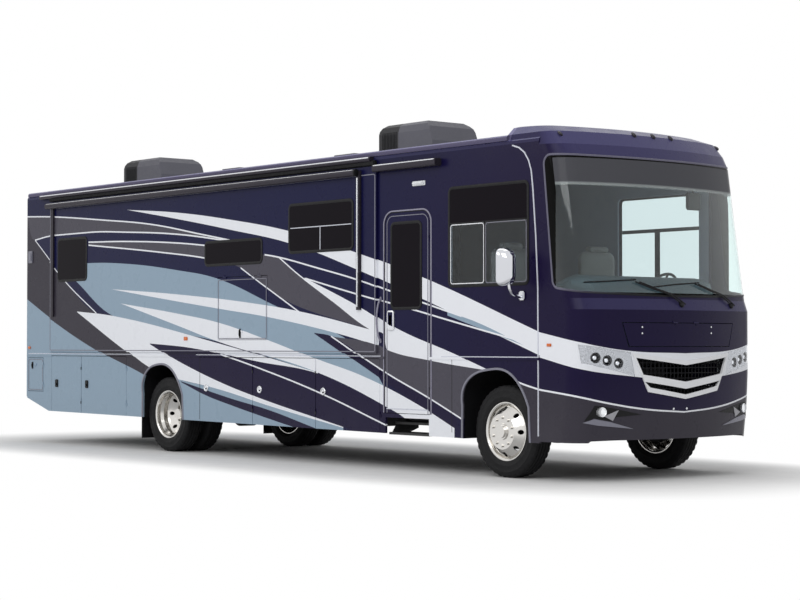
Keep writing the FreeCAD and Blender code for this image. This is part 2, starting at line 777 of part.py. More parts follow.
def rear_wheels():
    """Both left rear wheels on one hub."""
    outer_centre = Vector(REAR_AXLE, WHEEL_OUTSET, AXLE_HEIGHT)
    inner_centre = Vector(REAR_AXLE, WHEEL_OUTSET - DUAL_SPACING, AXLE_HEIGHT)
    face = DUAL_SPACING / 2
    outer_disc = wheel_disc(outer_centre, -face + DISC_WALL, -RIM_WIDTH / 2 * 0.62 + DISC_WALL, 1)
    inner_disc = wheel_disc(inner_centre, face, RIM_WIDTH / 2 * 0.62, 1)
    hub_end = -face + WALL_THICKNESS * 2.6
    hub = cylinder(HUB_RADIUS, outer_centre + Vector(0, -face - WALL_THICKNESS, 0),
                   outer_centre + Vector(0, -face + WALL_THICKNESS, 0))
    snout = cylinder(HUB_CAP_RADIUS, outer_centre + Vector(0, -face, 0),
                     outer_centre + Vector(0, hub_end, 0))
    pieces = [rim_barrel(outer_centre), rim_barrel(inner_centre), outer_disc, inner_disc, hub, snout]
    pieces += lug_nuts(outer_centre, -face, -face + DISC_WALL + LUG_LENGTH)
    wheels = joined(pieces)
    bore = cylinder(SPINDLE_RADIUS + BEARING_GAP, outer_centre + Vector(0, -face - WALL_THICKNESS, 0),
                    outer_centre + Vector(0, -face + WALL_THICKNESS * 0.6, 0))
    return wheels.cut(bore)


# Steering

def axle_beam():
    """The dropped front beam with a bored boss at each end."""
    top = AXLE_HEIGHT + BEAM_HEIGHT / 2 - EAR_GAP
    low = top - BEAM_DROP
    bend_out = KINGPIN_OUTSET - KINGPIN_BOSS_RADIUS * 3
    spring = RAIL_OUTSET - SPRING_WIDTH / 2
    bend_in = spring + SPRING_WIDTH * 1.4
    outline = [
        (KINGPIN_OUTSET, top), (bend_out, top), (bend_in, low), (-bend_in, low), (-bend_out, top),
        (-KINGPIN_OUTSET, top), (-KINGPIN_OUTSET, top - BEAM_HEIGHT), (-bend_out, top - BEAM_HEIGHT),
        (-bend_in, low - BEAM_HEIGHT), (bend_in, low - BEAM_HEIGHT), (bend_out, top - BEAM_HEIGHT),
        (KINGPIN_OUTSET, top - BEAM_HEIGHT),
    ]
    beam = prism_x(outline, FRONT_AXLE - BEAM_WIDTH / 2, FRONT_AXLE + BEAM_WIDTH / 2)
    pieces = [beam]
    bores = []
    for side in (-1, 1):
        base = Vector(FRONT_AXLE, side * KINGPIN_OUTSET, AXLE_HEIGHT - KINGPIN_BOSS_HEIGHT / 2)
        rise = Vector(0, 0, KINGPIN_BOSS_HEIGHT)
        pieces.append(cylinder(KINGPIN_BOSS_RADIUS, base, base + rise))
        bores.append(cylinder(KINGPIN_RADIUS + BEARING_GAP, base - rise, base + rise * 2))
        pieces.append(box(FRONT_AXLE - BEAM_WIDTH / 2, FRONT_AXLE + BEAM_WIDTH / 2,
                          side * spring - SPRING_WIDTH / 2, side * spring + SPRING_WIDTH / 2,
                          low, spring_seat_height(FRONT_SPRING_SAG)))
    return joined(pieces).cut(bores)


def spring_seat_height(sag):
    return RAIL_TOP - RAIL_HEIGHT - sag - SPRING_THICKNESS - SEAT_GAP * 2


def knuckle():
    """The left steering knuckle with its kingpin, spindle, brake and steering arm."""
    centre = Vector(FRONT_AXLE, KINGPIN_OUTSET, AXLE_HEIGHT)
    half = KINGPIN_BOSS_HEIGHT / 2 + EAR_GAP
    up = Vector(0, 0, 1)
    out = Vector(0, 1, 0)
    plate_start = KINGPIN_BOSS_RADIUS + RUN_GAP
    plate_end = plate_start + KNUCKLE_PLATE
    pieces = [cylinder(KINGPIN_RADIUS, centre - up * (half + EAR_THICKNESS),
                       centre + up * (half + EAR_THICKNESS))]
    for side in (-1, 1):
        low = min(side * half, side * (half + EAR_THICKNESS))
        base = centre + up * low
        pieces.append(cylinder(KINGPIN_BOSS_RADIUS, base, base + up * EAR_THICKNESS))
        pieces.append(box(FRONT_AXLE - KINGPIN_BOSS_RADIUS, FRONT_AXLE + KINGPIN_BOSS_RADIUS,
                          KINGPIN_OUTSET, KINGPIN_OUTSET + plate_end, base.z, base.z + EAR_THICKNESS))
    pieces.append(box(FRONT_AXLE - KINGPIN_BOSS_RADIUS, FRONT_AXLE + KINGPIN_BOSS_RADIUS,
                      KINGPIN_OUTSET + plate_start, KINGPIN_OUTSET + plate_end,
                      AXLE_HEIGHT - half - EAR_THICKNESS, AXLE_HEIGHT + half + EAR_THICKNESS))
    pieces.append(cylinder(BRAKE_RADIUS, centre + out * plate_end,
                           centre + out * (plate_end + BRAKE_WIDTH)))
    spindle_end = WHEEL_OUTSET - KINGPIN_OUTSET + DUAL_SPACING / 2 - DISC_WALL - RUN_GAP
    pieces.append(cylinder(SPINDLE_RADIUS, centre + out * plate_end, centre + out * spindle_end))
    arm_top = AXLE_HEIGHT - half
    arm = box(FRONT_AXLE - STEER_ARM_LENGTH, FRONT_AXLE, KINGPIN_OUTSET - STEER_ARM_WIDTH / 2,
              KINGPIN_OUTSET + STEER_ARM_WIDTH / 2, arm_top - STEER_ARM_THICKNESS, arm_top)
    tip = Vector(FRONT_AXLE - STEER_ARM_LENGTH, KINGPIN_OUTSET, arm_top - STEER_ARM_THICKNESS)
    eye = cylinder(TIE_EYE_RADIUS, tip, tip + up * STEER_ARM_THICKNESS)
    body = joined(pieces + [arm, eye])
    return body.cut(cylinder(TIE_PIN_RADIUS + BEARING_GAP, tip - up * BEAM_HEIGHT, tip + up * BEAM_HEIGHT))


def tie_rod():
    arm_top = AXLE_HEIGHT - KINGPIN_BOSS_HEIGHT / 2 - EAR_GAP
    level = arm_top + TIE_ROD_RADIUS + EAR_GAP * 2
    back = FRONT_AXLE - STEER_ARM_LENGTH
    pieces = [cylinder(TIE_ROD_RADIUS, Vector(back, -KINGPIN_OUTSET, level),
                       Vector(back, KINGPIN_OUTSET, level))]
    for side in (-1, 1):
        low = Vector(back, side * KINGPIN_OUTSET, arm_top - STEER_ARM_THICKNESS)
        high = Vector(back, side * KINGPIN_OUTSET, level)
        pieces.append(cylinder(TIE_PIN_RADIUS, low, high))
        start = Vector(back, side * KINGPIN_OUTSET, arm_top + EAR_GAP)
        pieces.append(cylinder(TIE_EYE_RADIUS, start, start + Vector(0, 0, TIE_ROD_RADIUS * 2)))
    return joined(pieces)


# Chassis

def frame_rails():
    """Two channel rails with floor risers and tow eyes, their cross members and the hitch."""
    front = NOSE - RAIL_FRONT_SHORT
    bottom = RAIL_TOP - RAIL_HEIGHT
    length = front - RAIL_REAR
    channel = box(RAIL_REAR, front, RAIL_OUTSET - RAIL_FLANGE, RAIL_OUTSET, bottom, RAIL_TOP)
    hollow = box(RAIL_REAR - CUT_OVERRUN, front + CUT_OVERRUN, RAIL_OUTSET - RAIL_FLANGE - CUT_OVERRUN,
                 RAIL_OUTSET - RAIL_WALL, bottom + RAIL_WALL, RAIL_TOP - RAIL_WALL)
    pieces = [channel.cut(hollow)]
    for share in RISER_SHARES:
        start = RAIL_REAR + share * length
        pieces.append(box(start, start + RISER_LENGTH, RAIL_OUTSET - RAIL_FLANGE, RAIL_OUTSET,
                          RAIL_TOP - RAIL_WALL, FLOOR_BOTTOM))
    solids = both_sides(joined(pieces + [tow_eye(front, bottom)]))
    inner = RAIL_OUTSET - RAIL_WALL - SEAT_GAP
    seat = bottom + RAIL_WALL + SEAT_GAP
    for share in CROSS_MEMBER_SHARES:
        start = RAIL_REAR + share * length - CROSS_MEMBER_WIDTH / 2
        start = min(max(start, RAIL_REAR), front - CROSS_MEMBER_WIDTH)
        solids.append(box(start, start + CROSS_MEMBER_WIDTH, -inner, inner, seat,
                          seat + CROSS_MEMBER_HEIGHT / 2))
    return solids + [hitch(bottom - SEAT_GAP)]


def tow_eye(front, bottom):
    """A flat plate ahead of the left rail with an upright hole."""
    half = HITCH_BAR / 2
    centre = Vector(front + HITCH_BAR, RAIL_OUTSET - RAIL_FLANGE / 2, bottom)
    plate = box(front - HITCH_BAR, centre.x, centre.y - half, centre.y + half, bottom, bottom + TOW_PLATE)
    tip = cylinder(half, centre, centre + Vector(0, 0, TOW_PLATE))
    hole = cylinder(TOW_EYE_RADIUS, centre - Vector(0, 0, half), centre + Vector(0, 0, half))
    return joined([plate, tip]).cut(hole)


def hitch(top):
    """The receiver tube on a bar that hangs from both rails."""
    drop = RECEIVER_HEIGHT - RECEIVER_SIZE / 2
    hanger = box(RAIL_REAR, RAIL_REAR + HITCH_BAR * 3, RAIL_OUTSET - RAIL_WALL, RAIL_OUTSET, drop, top)
    bar = box(RAIL_REAR + HITCH_BAR, RAIL_REAR + HITCH_BAR * 2, -RAIL_OUTSET, RAIL_OUTSET,
              drop, drop + RECEIVER_SIZE)
    tube = box(RECEIVER_REAR, RECEIVER_REAR + RECEIVER_LENGTH, -RECEIVER_SIZE / 2, RECEIVER_SIZE / 2,
               drop, drop + RECEIVER_SIZE)
    socket = box(RECEIVER_REAR - CUT_OVERRUN, RECEIVER_REAR + RECEIVER_LENGTH - HITCH_BAR,
                 -RECEIVER_BORE / 2,
                 RECEIVER_BORE / 2, RECEIVER_HEIGHT - RECEIVER_BORE / 2,
                 RECEIVER_HEIGHT + RECEIVER_BORE / 2)
    pin_x = RECEIVER_REAR + HITCH_PIN_INSET
    pin = cylinder(HITCH_PIN_RADIUS, Vector(pin_x, -RECEIVER_SIZE, RECEIVER_HEIGHT),
                   Vector(pin_x, RECEIVER_SIZE, RECEIVER_HEIGHT))
    return joined([bar, tube] + both_sides(hanger)).cut([socket, pin])


def leaf_springs():
    """A bowed leaf pack at each end of both axles, hung under the rails."""
    packs = []
    top = RAIL_TOP - RAIL_HEIGHT - SEAT_GAP
    low = top - RAIL_WALL
    half = SPRING_LENGTH / 2
    for axle, sag in ((REAR_AXLE, REAR_SPRING_SAG), (FRONT_AXLE, FRONT_SPRING_SAG)):
        back, ahead = axle - half, axle + half
        upper = Part.Arc(Vector(back, 0, top), Vector(axle, 0, top - sag), Vector(ahead, 0, top))
        lower = Part.Arc(Vector(ahead, 0, low), Vector(axle, 0, top - sag - SPRING_THICKNESS),
                         Vector(back, 0, low))
        wire = Part.Wire([
            upper.toShape(), Part.LineSegment(Vector(ahead, 0, top), Vector(ahead, 0, low)).toShape(),
            lower.toShape(), Part.LineSegment(Vector(back, 0, low), Vector(back, 0, top)).toShape(),
        ])
        pack = Part.Face(wire).extrude(Vector(0, SPRING_WIDTH, 0))
        pack.translate(Vector(0, RAIL_OUTSET - SPRING_WIDTH, 0))
        packs += both_sides(pack)
    return packs


def rear_axle():
    """The driven axle with its differential, spring pads and the driveshaft."""
    inner_end = WHEEL_OUTSET - DUAL_SPACING / 2 - WALL_THICKNESS - RUN_GAP
    drum_start = WHEEL_OUTSET - DUAL_SPACING - RIM_WIDTH / 2
    level = AXLE_HEIGHT
    pieces = [cylinder(AXLE_TUBE_RADIUS, Vector(REAR_AXLE, -inner_end, level),
                       Vector(REAR_AXLE, inner_end, level)),
              cylinder(BANJO_RADIUS, Vector(REAR_AXLE, -BANJO_WIDTH / 2, level),
                       Vector(REAR_AXLE, BANJO_WIDTH / 2, level))]
    spindle = WHEEL_OUTSET - DUAL_SPACING / 2 + WALL_THICKNESS * 0.6 - RUN_GAP
    pieces.append(cylinder(SPINDLE_RADIUS, Vector(REAR_AXLE, -spindle, level),
                           Vector(REAR_AXLE, spindle, level)))
    for side in (-1, 1):
        pieces.append(cylinder(REAR_DRUM_RADIUS, Vector(REAR_AXLE, side * drum_start, level),
                               Vector(REAR_AXLE, side * (drum_start + BRAKE_WIDTH), level)))
        centre = side * (RAIL_OUTSET - SPRING_WIDTH / 2)
        pieces.append(box(REAR_AXLE - SPRING_PAD, REAR_AXLE + SPRING_PAD, centre - SPRING_WIDTH / 2,
                          centre + SPRING_WIDTH / 2, level, spring_seat_height(REAR_SPRING_SAG)))
    shaft_start = Vector(REAR_AXLE + BANJO_RADIUS * 0.9, 0, level)
    shaft_end = Vector(gearbox_rear() - SEAT_GAP * 6, 0, GEARBOX_HEIGHT)
    pieces.append(cylinder(DRIVESHAFT_RADIUS, shaft_start, shaft_end))
    return joined(pieces)


def gearbox_rear():
    return FRONT_AXLE + ENGINE_AHEAD - GEARBOX_LENGTH


def engine():
    """The engine as one plain block with its gearbox, mounted on the rails."""
    start = FRONT_AXLE + ENGINE_AHEAD
    half = ENGINE_WIDTH / 2
    block = box(start, start + ENGINE_LENGTH, -half, half, ENGINE_BOTTOM, ENGINE_TOP)
    level = GEARBOX_HEIGHT
    gearbox = cylinder(GEARBOX_RADIUS, Vector(gearbox_rear() + DRIVESHAFT_RADIUS, 0, level),
                       Vector(start, 0, level))
    yoke = cylinder(DRIVESHAFT_RADIUS, Vector(gearbox_rear(), 0, level), Vector(start, 0, level))
    mount = box(start + ENGINE_LENGTH * 0.4, start + ENGINE_LENGTH * 0.55, half - RAIL_WALL,
                RAIL_OUTSET - RAIL_FLANGE - SEAT_GAP, RAIL_TOP - CROSS_MEMBER_HEIGHT * 0.5, RAIL_TOP)
    return joined([block, gearbox, yoke] + both_sides(mount))


def fuel_tank():
    half = TANK_WIDTH / 2
    tank = rounded_box(TANK_START, TANK_START + TANK_LENGTH, -half, half, TANK_BOTTOM, TANK_TOP,
                       WALL_THICKNESS,
                       Vector(1, 0, 0))
    reach = RAIL_OUTSET - RAIL_WALL - SEAT_GAP
    strap = box(TANK_START + TANK_LENGTH * 0.3, TANK_START + TANK_LENGTH * 0.34, -reach, reach,
                TANK_TOP - WALL_THICKNESS * 2, TANK_TOP - WALL_THICKNESS)
    other = strap.copy()
    other.translate(Vector(TANK_LENGTH * 0.4, 0, 0))
    return joined([tank, strap, other])


def exhaust():
    """A muffler and pipes hung between the rails."""
    start = gearbox_rear()
    level = EXHAUST_HEIGHT
    side = -EXHAUST_OUTSET
    muffler_start = (REAR_AXLE + start) / 2
    front_pipe = cylinder(PIPE_RADIUS, Vector(muffler_start, side, level), Vector(start, side, level))
    muffler = cylinder(MUFFLER_RADIUS, Vector(muffler_start, side, level),
                       Vector(muffler_start + MUFFLER_LENGTH, side, level))
    tail = cylinder(PIPE_RADIUS, Vector(REAR_AXLE + BANJO_RADIUS * 2, side, level),
                    Vector(muffler_start, side, level))
    hanger = box(muffler_start + MUFFLER_LENGTH * 0.4, muffler_start + MUFFLER_LENGTH * 0.44,
                 -RAIL_OUTSET + RAIL_WALL,
                 side, RAIL_TOP - RAIL_HEIGHT - RAIL_WALL, RAIL_TOP - RAIL_HEIGHT - SEAT_GAP)
    return joined([front_pipe, muffler, tail, hanger])


# Floor, storage and liners

def step_well_bounds():
    return DOOR_REAR, DOOR_FRONT, -INNER_HALF, -INNER_HALF + STEPWELL_DEPTH


def floor():
    """The floor slab with a stepped well inside the entry door."""
    slab = box(REAR_CAP_DEPTH + SEAT_GAP, CAP_SEAM, -INNER_HALF + SEAT_GAP, INNER_HALF - SEAT_GAP,
               FLOOR_BOTTOM,
               BELT_HEIGHT)
    x0, x1, y0, y1 = step_well_bounds()
    y0 = y0 + SEAT_GAP
    slab = slab.cut(box(x0, x1, y0 - CUT_OVERRUN, y1, FLOOR_BOTTOM - CUT_OVERRUN,
                        BELT_HEIGHT + CUT_OVERRUN))
    tread = STEPWELL_PLATE
    rise = (BELT_HEIGHT - DOOR_BOTTOM) / 2
    middle = DOOR_BOTTOM + rise
    split = y0 + STEPWELL_TREAD
    pieces = [
        slab,
        box(x0, x1, y0, split, DOOR_BOTTOM - tread, DOOR_BOTTOM),
        box(x0, x1, split, split + tread, DOOR_BOTTOM - tread, middle),
        box(x0, x1, split, y1 + tread, middle - tread, middle),
        box(x0, x1, y1, y1 + tread, middle - tread, BELT_HEIGHT),
        box(x0 - tread, x0, y0, y1 + tread, DOOR_BOTTOM - tread, BELT_HEIGHT),
        box(x1, x1 + tread, y0, y1 + tread, DOOR_BOTTOM - tread, BELT_HEIGHT),
    ]
    return joined(pieces + step_brackets())


def bay_edges(start, end, shares):
    edges = [start]
    for share in shares:
        edges.append(edges[-1] + share * (end - start))
    return edges


def rear_bay_edges():
    return bay_edges(REAR_BAY_START, REAR_BAY_END, REAR_BAY_SHARES)


def mid_bay_edges():
    return bay_edges(MID_BAY_START, MID_BAY_END, MID_BAY_SHARES)


def all_bays():
    """Start and end of every storage bay, rear to front."""
    bays = []
    for edges in (rear_bay_edges(), mid_bay_edges()):
        bays += list(zip(edges[:-1], edges[1:]))
    return bays


def storage_group(edges):
    """Floor, inner wall and bulkheads of one row of open compartments."""
    start, end = edges[0], edges[-1]
    outer = HALF_WIDTH - SKIRT_THICKNESS - STORAGE_MOUTH_CLEARANCE
    low = max(skirt_bottom(start), skirt_bottom(end)) + STORAGE_FLOOR_CLEARANCE
    top = FLOOR_BOTTOM - SEAT_GAP
    plate = STORAGE_PLATE
    pieces = [box(start, end, STORAGE_INNER, outer, low, low + plate),
              box(start, end, STORAGE_INNER, STORAGE_INNER + plate, low, top)]
    for index, edge in enumerate(edges):
        shift = 0 if index == 0 else (-plate if index == len(edges) - 1 else -plate / 2)
        pieces.append(box(edge + shift, edge + shift + plate, STORAGE_INNER, outer, low, top))
    hinges = []
    for edge in edges[1:-1]:
        hinges += bay_hinges(edge, HALF_WIDTH + HINGE_PROUD - outer + plate)
    return hang(None, joined(pieces), hinges)[1]


def arch_points(axle, rear_length, front_length, grow):
    points = []
    for along, up in REAR_ARCH_SHARES:
        reach = rear_length if along > 0 else front_length
        points.append((axle - along * (reach + grow), AXLE_HEIGHT + up * (ARCH_HEIGHT + grow)))
    return points


def arch_face(axle, rear_length, front_length, grow, y):
    """A rounded wheel arch opening with straight drops below."""
    points = [Vector(x, y, z) for x, z in arch_points(axle, rear_length, front_length, grow)]
    curve = Part.BSplineCurve()
    curve.interpolate(points[1:-1])
    first, last = points[1], points[-2]
    low = CAP_BOTTOM - CUT_OVERRUN
    foot_first = Vector(points[0].x, y, low)
    foot_last = Vector(points[-1].x, y, low)
    wire = Part.Wire([
        Part.LineSegment(foot_first, first).toShape(), curve.toShape(),
        Part.LineSegment(last, foot_last).toShape(), Part.LineSegment(foot_last, foot_first).toShape(),
    ])
    return Part.Face(wire)


def arch_cut(axle, rear_length, front_length, grow, y0, y1):
    return arch_face(axle, rear_length, front_length, grow, y0).extrude(Vector(0, y1 - y0, 0))


def liners_and_flaps():
    """Black liners over each wheel and a hanging flap behind the rear wheels."""
    pieces = []
    outer = HALF_WIDTH - SKIRT_THICKNESS - SEAT_GAP
    for axle, back, ahead, inner in (
            (REAR_AXLE, ARCH_REAR_LENGTH, ARCH_FRONT_LENGTH, LINER_INNER_REAR),
            (FRONT_AXLE, FRONT_ARCH_REAR_LENGTH, LINER_FRONT_REACH, LINER_INNER_FRONT)):
        shell = arch_cut(axle, back, ahead, LINER_THICKNESS * 2, inner, outer)
        shell = shell.cut(arch_cut(axle, back, ahead, LINER_THICKNESS, inner - CUT_OVERRUN,
                                   outer + CUT_OVERRUN))
        keep = box(axle - back * 2, axle + back * 2, inner, outer, skirt_bottom(axle),
                   FLOOR_BOTTOM - SEAT_GAP)
        pieces += both_sides(shell.common(keep))
    flap_x = REAR_AXLE - FLAP_BEHIND
    flap = box(flap_x, flap_x + FLAP_THICKNESS, WHEEL_OUTSET - DUAL_SPACING - TYRE_WIDTH / 2, outer,
               FLAP_BOTTOM,
               FLOOR_BOTTOM - SEAT_GAP)
    pieces += both_sides(flap)
    return pieces


# Side walls

def wall_outline(low_line):
    start = REAR_CAP_DEPTH
    if low_line:
        rise = (DEPARTURE_HEIGHT - SKIRT_BOTTOM_REAR) * (1 - start / DEPARTURE_LENGTH)
        return [(start, SKIRT_BOTTOM_REAR + rise), (DEPARTURE_LENGTH, SKIRT_BOTTOM_REAR),
                (CAP_SEAM, SKIRT_BOTTOM_FRONT), (CAP_SEAM, BELT_HEIGHT), (start, BELT_HEIGHT)]
    return [(start, FLOOR_BOTTOM), (CAP_SEAM, FLOOR_BOTTOM), (CAP_SEAM, CEILING_HEIGHT),
            (start, CEILING_HEIGHT)]


def wall_blank(bays):
    """The left wall with its skirt and belt trim, open at the arches and storage bays."""
    upper = prism_y(wall_outline(False), INNER_HALF, HALF_WIDTH)
    skirt = prism_y(wall_outline(True), HALF_WIDTH - SKIRT_THICKNESS, HALF_WIDTH)
    trim = box(REAR_CAP_DEPTH, CAP_SEAM, HALF_WIDTH, HALF_WIDTH + BELT_TRIM_PROUD,
               BELT_HEIGHT - BELT_TRIM_HEIGHT,
               BELT_HEIGHT)
    wall = joined([upper, skirt, trim])
    y0, y1 = INNER_HALF - CUT_OVERRUN, HALF_WIDTH + CUT_OVERRUN
    cuts = [arch_cut(REAR_AXLE, ARCH_REAR_LENGTH, ARCH_FRONT_LENGTH, 0, y0, y1),
            arch_cut(FRONT_AXLE, FRONT_ARCH_REAR_LENGTH, FRONT_ARCH_FRONT_LENGTH, 0, y0, y1)]
    for start, end in bays:
        cuts.append(box(start, end, y0, y1, skirt_bottom(start) - CUT_OVERRUN, BAY_DOOR_TOP))
    return wall.cut(cuts)


def through_wall(x0, x1, z0, z1, radius):
    return rounded_box(x0, x1, INNER_HALF - CUT_OVERRUN, HALF_WIDTH + CUT_OVERRUN, z0, z1, radius,
                       Vector(0, 1, 0))


def cab_window_bounds():
    start = FRONT_AXLE - CAB_WINDOW_BEHIND_AXLE
    return start, CAP_SEAM - CAB_WINDOW_END_GAP, CAB_WINDOW_BOTTOM, CAB_WINDOW_TOP


def pane(x0, x1, z0, z1, outer, side):
    """A window pane standing in its opening, on the left (1) or right (-1) side."""
    gap = SEAT_GAP
    near = side * (outer + PANE_PROUD)
    far = side * (outer + PANE_PROUD - PANE_THICKNESS)
    return rounded_box(x0 + gap, x1 - gap, min(near, far), max(near, far), z0 + gap, z1 - gap, PANE_CORNER,
                       Vector(0, 1, 0))


def side_wall_left():
    wall = wall_blank(((rear_bay_edges()[1], REAR_BAY_END), (MID_BAY_START, MID_BAY_END)))
    x0, x1, z0, z1 = cab_window_bounds()
    cuts = [through_wall(x0, x1, z0, z1, PANE_CORNER)]
    for start, length, low, high in LEFT_WINDOWS:
        cuts.append(through_wall(start, start + length, low, high, PANE_CORNER))
    return hang(None, wall.cut(cuts), bay_hinges(REAR_BAY_END) + bay_hinges(MID_BAY_END))[1]


def side_wall_right():
    """The door side, drawn on the left and mirrored at the end."""
    wall = wall_blank(((REAR_BAY_START, REAR_BAY_END), (MID_BAY_START, MID_BAY_END)))
    x0, x1, z0, z1 = cab_window_bounds()
    slide = box(SLIDE_START + SLIDE_FLANGE, SLIDE_END - SLIDE_FLANGE, INNER_HALF - CUT_OVERRUN,
                HALF_WIDTH + CUT_OVERRUN, SLIDE_BOTTOM + SLIDE_FLANGE, SLIDE_TOP - SLIDE_FLANGE)
    hatch = box(HATCH_START - DOOR_GAP, HATCH_START + HATCH_LENGTH + DOOR_GAP, INNER_HALF - CUT_OVERRUN,
                HALF_WIDTH + CUT_OVERRUN, HATCH_BOTTOM - DOOR_GAP, HATCH_TOP + DOOR_GAP)
    step = box(DOOR_REAR + STEP_RECESS, DOOR_FRONT - STEP_RECESS, INNER_HALF - CUT_OVERRUN,
               HALF_WIDTH + CUT_OVERRUN,
               SKIRT_BOTTOM_FRONT - CUT_OVERRUN, DOOR_BOTTOM - STEP_LINTEL)
    door = door_blank(0, INNER_HALF - CUT_OVERRUN, HALF_WIDTH + CUT_OVERRUN)
    cuts = [through_wall(x0, x1, z0, z1, PANE_CORNER), slide, hatch, step, door]
    hinges = hatch_hinges() + entry_hinges() + bay_hinges(REAR_BAY_END) + bay_hinges(MID_BAY_END)
    whole = hang(None, wall.cut(cuts), hinges)[1]
    return [mirrored(whole.common(cell)) for cell in wall_cells()]


def wall_cells():
    """Boxes round the door side's panels, which meet at the slide-out opening, the bays and the door."""
    start, end, foot, head = 0, CAP_SEAM + WALL_THICKNESS, 0, SLIDE_TOP * 2
    rear = SLIDE_START + SLIDE_FLANGE
    front = SLIDE_END - SLIDE_FLANGE
    low = SLIDE_BOTTOM + SLIDE_FLANGE
    high = SLIDE_TOP - SLIDE_FLANGE
    sill = BAY_DOOR_TOP
    middle = MID_BAY_START + PANEL_SEAM_INSET
    seam = DOOR_REAR - PANEL_SEAM_INSET
    spans = (
        (start, REAR_BAY_START, foot, sill), (start, rear, sill, head), (rear, seam, sill, low),
        (REAR_BAY_START, middle, foot, sill), (middle, seam, foot, sill), (rear, front, high, head),
        (front, seam, low, head), (seam, end, foot, head),
    )
    half = SEAT_GAP / 2
    return [box(x0 + half, x1 - half, 0, HALF_WIDTH * 2, z0 + half, z1 - half) for x0, x1, z0, z1 in spans]


def side_windows():
    """Fixed panes of both side walls."""
    x0, x1, z0, z1 = cab_window_bounds()
    panes = [pane(x0, x1, z0, z1, HALF_WIDTH, 1), pane(x0, x1, z0, z1, HALF_WIDTH, -1)]
    for start, length, low, high in LEFT_WINDOWS:
        panes.append(pane(start, start + length, low, high, HALF_WIDTH, 1))
    return panes


# Doors

def door_blank(gap, y0, y1):
    """The entry door outline with rounded top corners, drawn in by a gap."""
    solid = box(DOOR_REAR + gap, DOOR_FRONT - gap, y0, y1, DOOR_BOTTOM + gap, DOOR_TOP - gap)
    edges = []
    for edge in solid.Edges:
        ends = [vertex.Point for vertex in edge.Vertexes]
        if abs(ends[0].z - ends[1].z) < SEAT_GAP and abs(ends[0].x - ends[1].x) < SEAT_GAP:
            if ends[0].z > DOOR_TOP - gap - SEAT_GAP:
                edges.append(edge)
    return solid.makeFillet(DOOR_CORNER - gap, edges)


def door_window_bounds():
    return (DOOR_REAR + DOOR_WINDOW_SIDE, DOOR_FRONT - DOOR_WINDOW_SIDE * 1.2, DOOR_WINDOW_BOTTOM,
            DOOR_WINDOW_TOP)


def entry_door():
    panel = door_blank(DOOR_GAP, INNER_HALF, HALF_WIDTH)
    panel = panel.cut(box(DOOR_REAR, DOOR_REAR + DOOR_LATCH_GAP, INNER_HALF, HALF_WIDTH, DOOR_BOTTOM,
                          DOOR_TOP))
    x0, x1, z0, z1 = door_window_bounds()
    panel = panel.cut(through_wall(x0, x1, z0, z1, PANE_CORNER))
    handle_x = DOOR_REAR + DOOR_WINDOW_SIDE
    handle = rounded_box(handle_x - WALL_THICKNESS, handle_x + WALL_THICKNESS, HALF_WIDTH,
                         HALF_WIDTH + LATCH_PROUD * 2,
                         DOOR_WINDOW_BOTTOM - WALL_THICKNESS * 4.4,
                         DOOR_WINDOW_BOTTOM - WALL_THICKNESS * 0.5,
                         LATCH_PROUD, Vector(0, 1, 0))
    return mirrored(hang(joined([panel, handle]), None, entry_hinges())[0])


def entry_door_window():
    x0, x1, z0, z1 = door_window_bounds()
    return pane(x0, x1, z0, z1, HALF_WIDTH, -1)


def bay_door(x0, x1):
    """A left baggage door with its round latch near the rear edge."""
    gap = BAY_GAP
    outline = [(x0 + gap, skirt_bottom(x0)), (x1 - gap, skirt_bottom(x1)),
               (x1 - gap, BAY_DOOR_TOP - DOOR_GAP),
               (x0 + gap, BAY_DOOR_TOP - DOOR_GAP)]
    panel = prism_y(outline, HALF_WIDTH - SKIRT_THICKNESS, HALF_WIDTH)
    spot = Vector(x0 + LATCH_INSET, HALF_WIDTH - LATCH_PROUD, LATCH_HEIGHT)
    latch = cylinder(LATCH_RADIUS, spot, spot + Vector(0, LATCH_PROUD * 2, 0))
    return hang(joined([panel, latch]), None, bay_hinges(x1))[0]


def rear_hatch():
    panel = box(HATCH_START, HATCH_START + HATCH_LENGTH, HALF_WIDTH - SKIRT_THICKNESS, HALF_WIDTH,
                HATCH_BOTTOM,
                HATCH_TOP)
    spot = Vector(HATCH_START + HATCH_LENGTH / 2, HALF_WIDTH - LATCH_PROUD, HATCH_TOP - LATCH_INSET * 0.6)
    latch = cylinder(LATCH_RADIUS, spot, spot + Vector(0, LATCH_PROUD * 2, 0))
    return mirrored(hang(joined([panel, latch]), None, hatch_hinges())[0])


# Slide-out room

def slide_face():
    return HALF_WIDTH + SEAT_GAP + SLIDE_FLANGE_THICKNESS


def screen_door_bounds():
    start = SLIDE_START + SCREEN_START_SHARE * (SLIDE_END - SLIDE_START)
    return start, start + SCREEN_LENGTH, SCREEN_BOTTOM, SCREEN_TOP


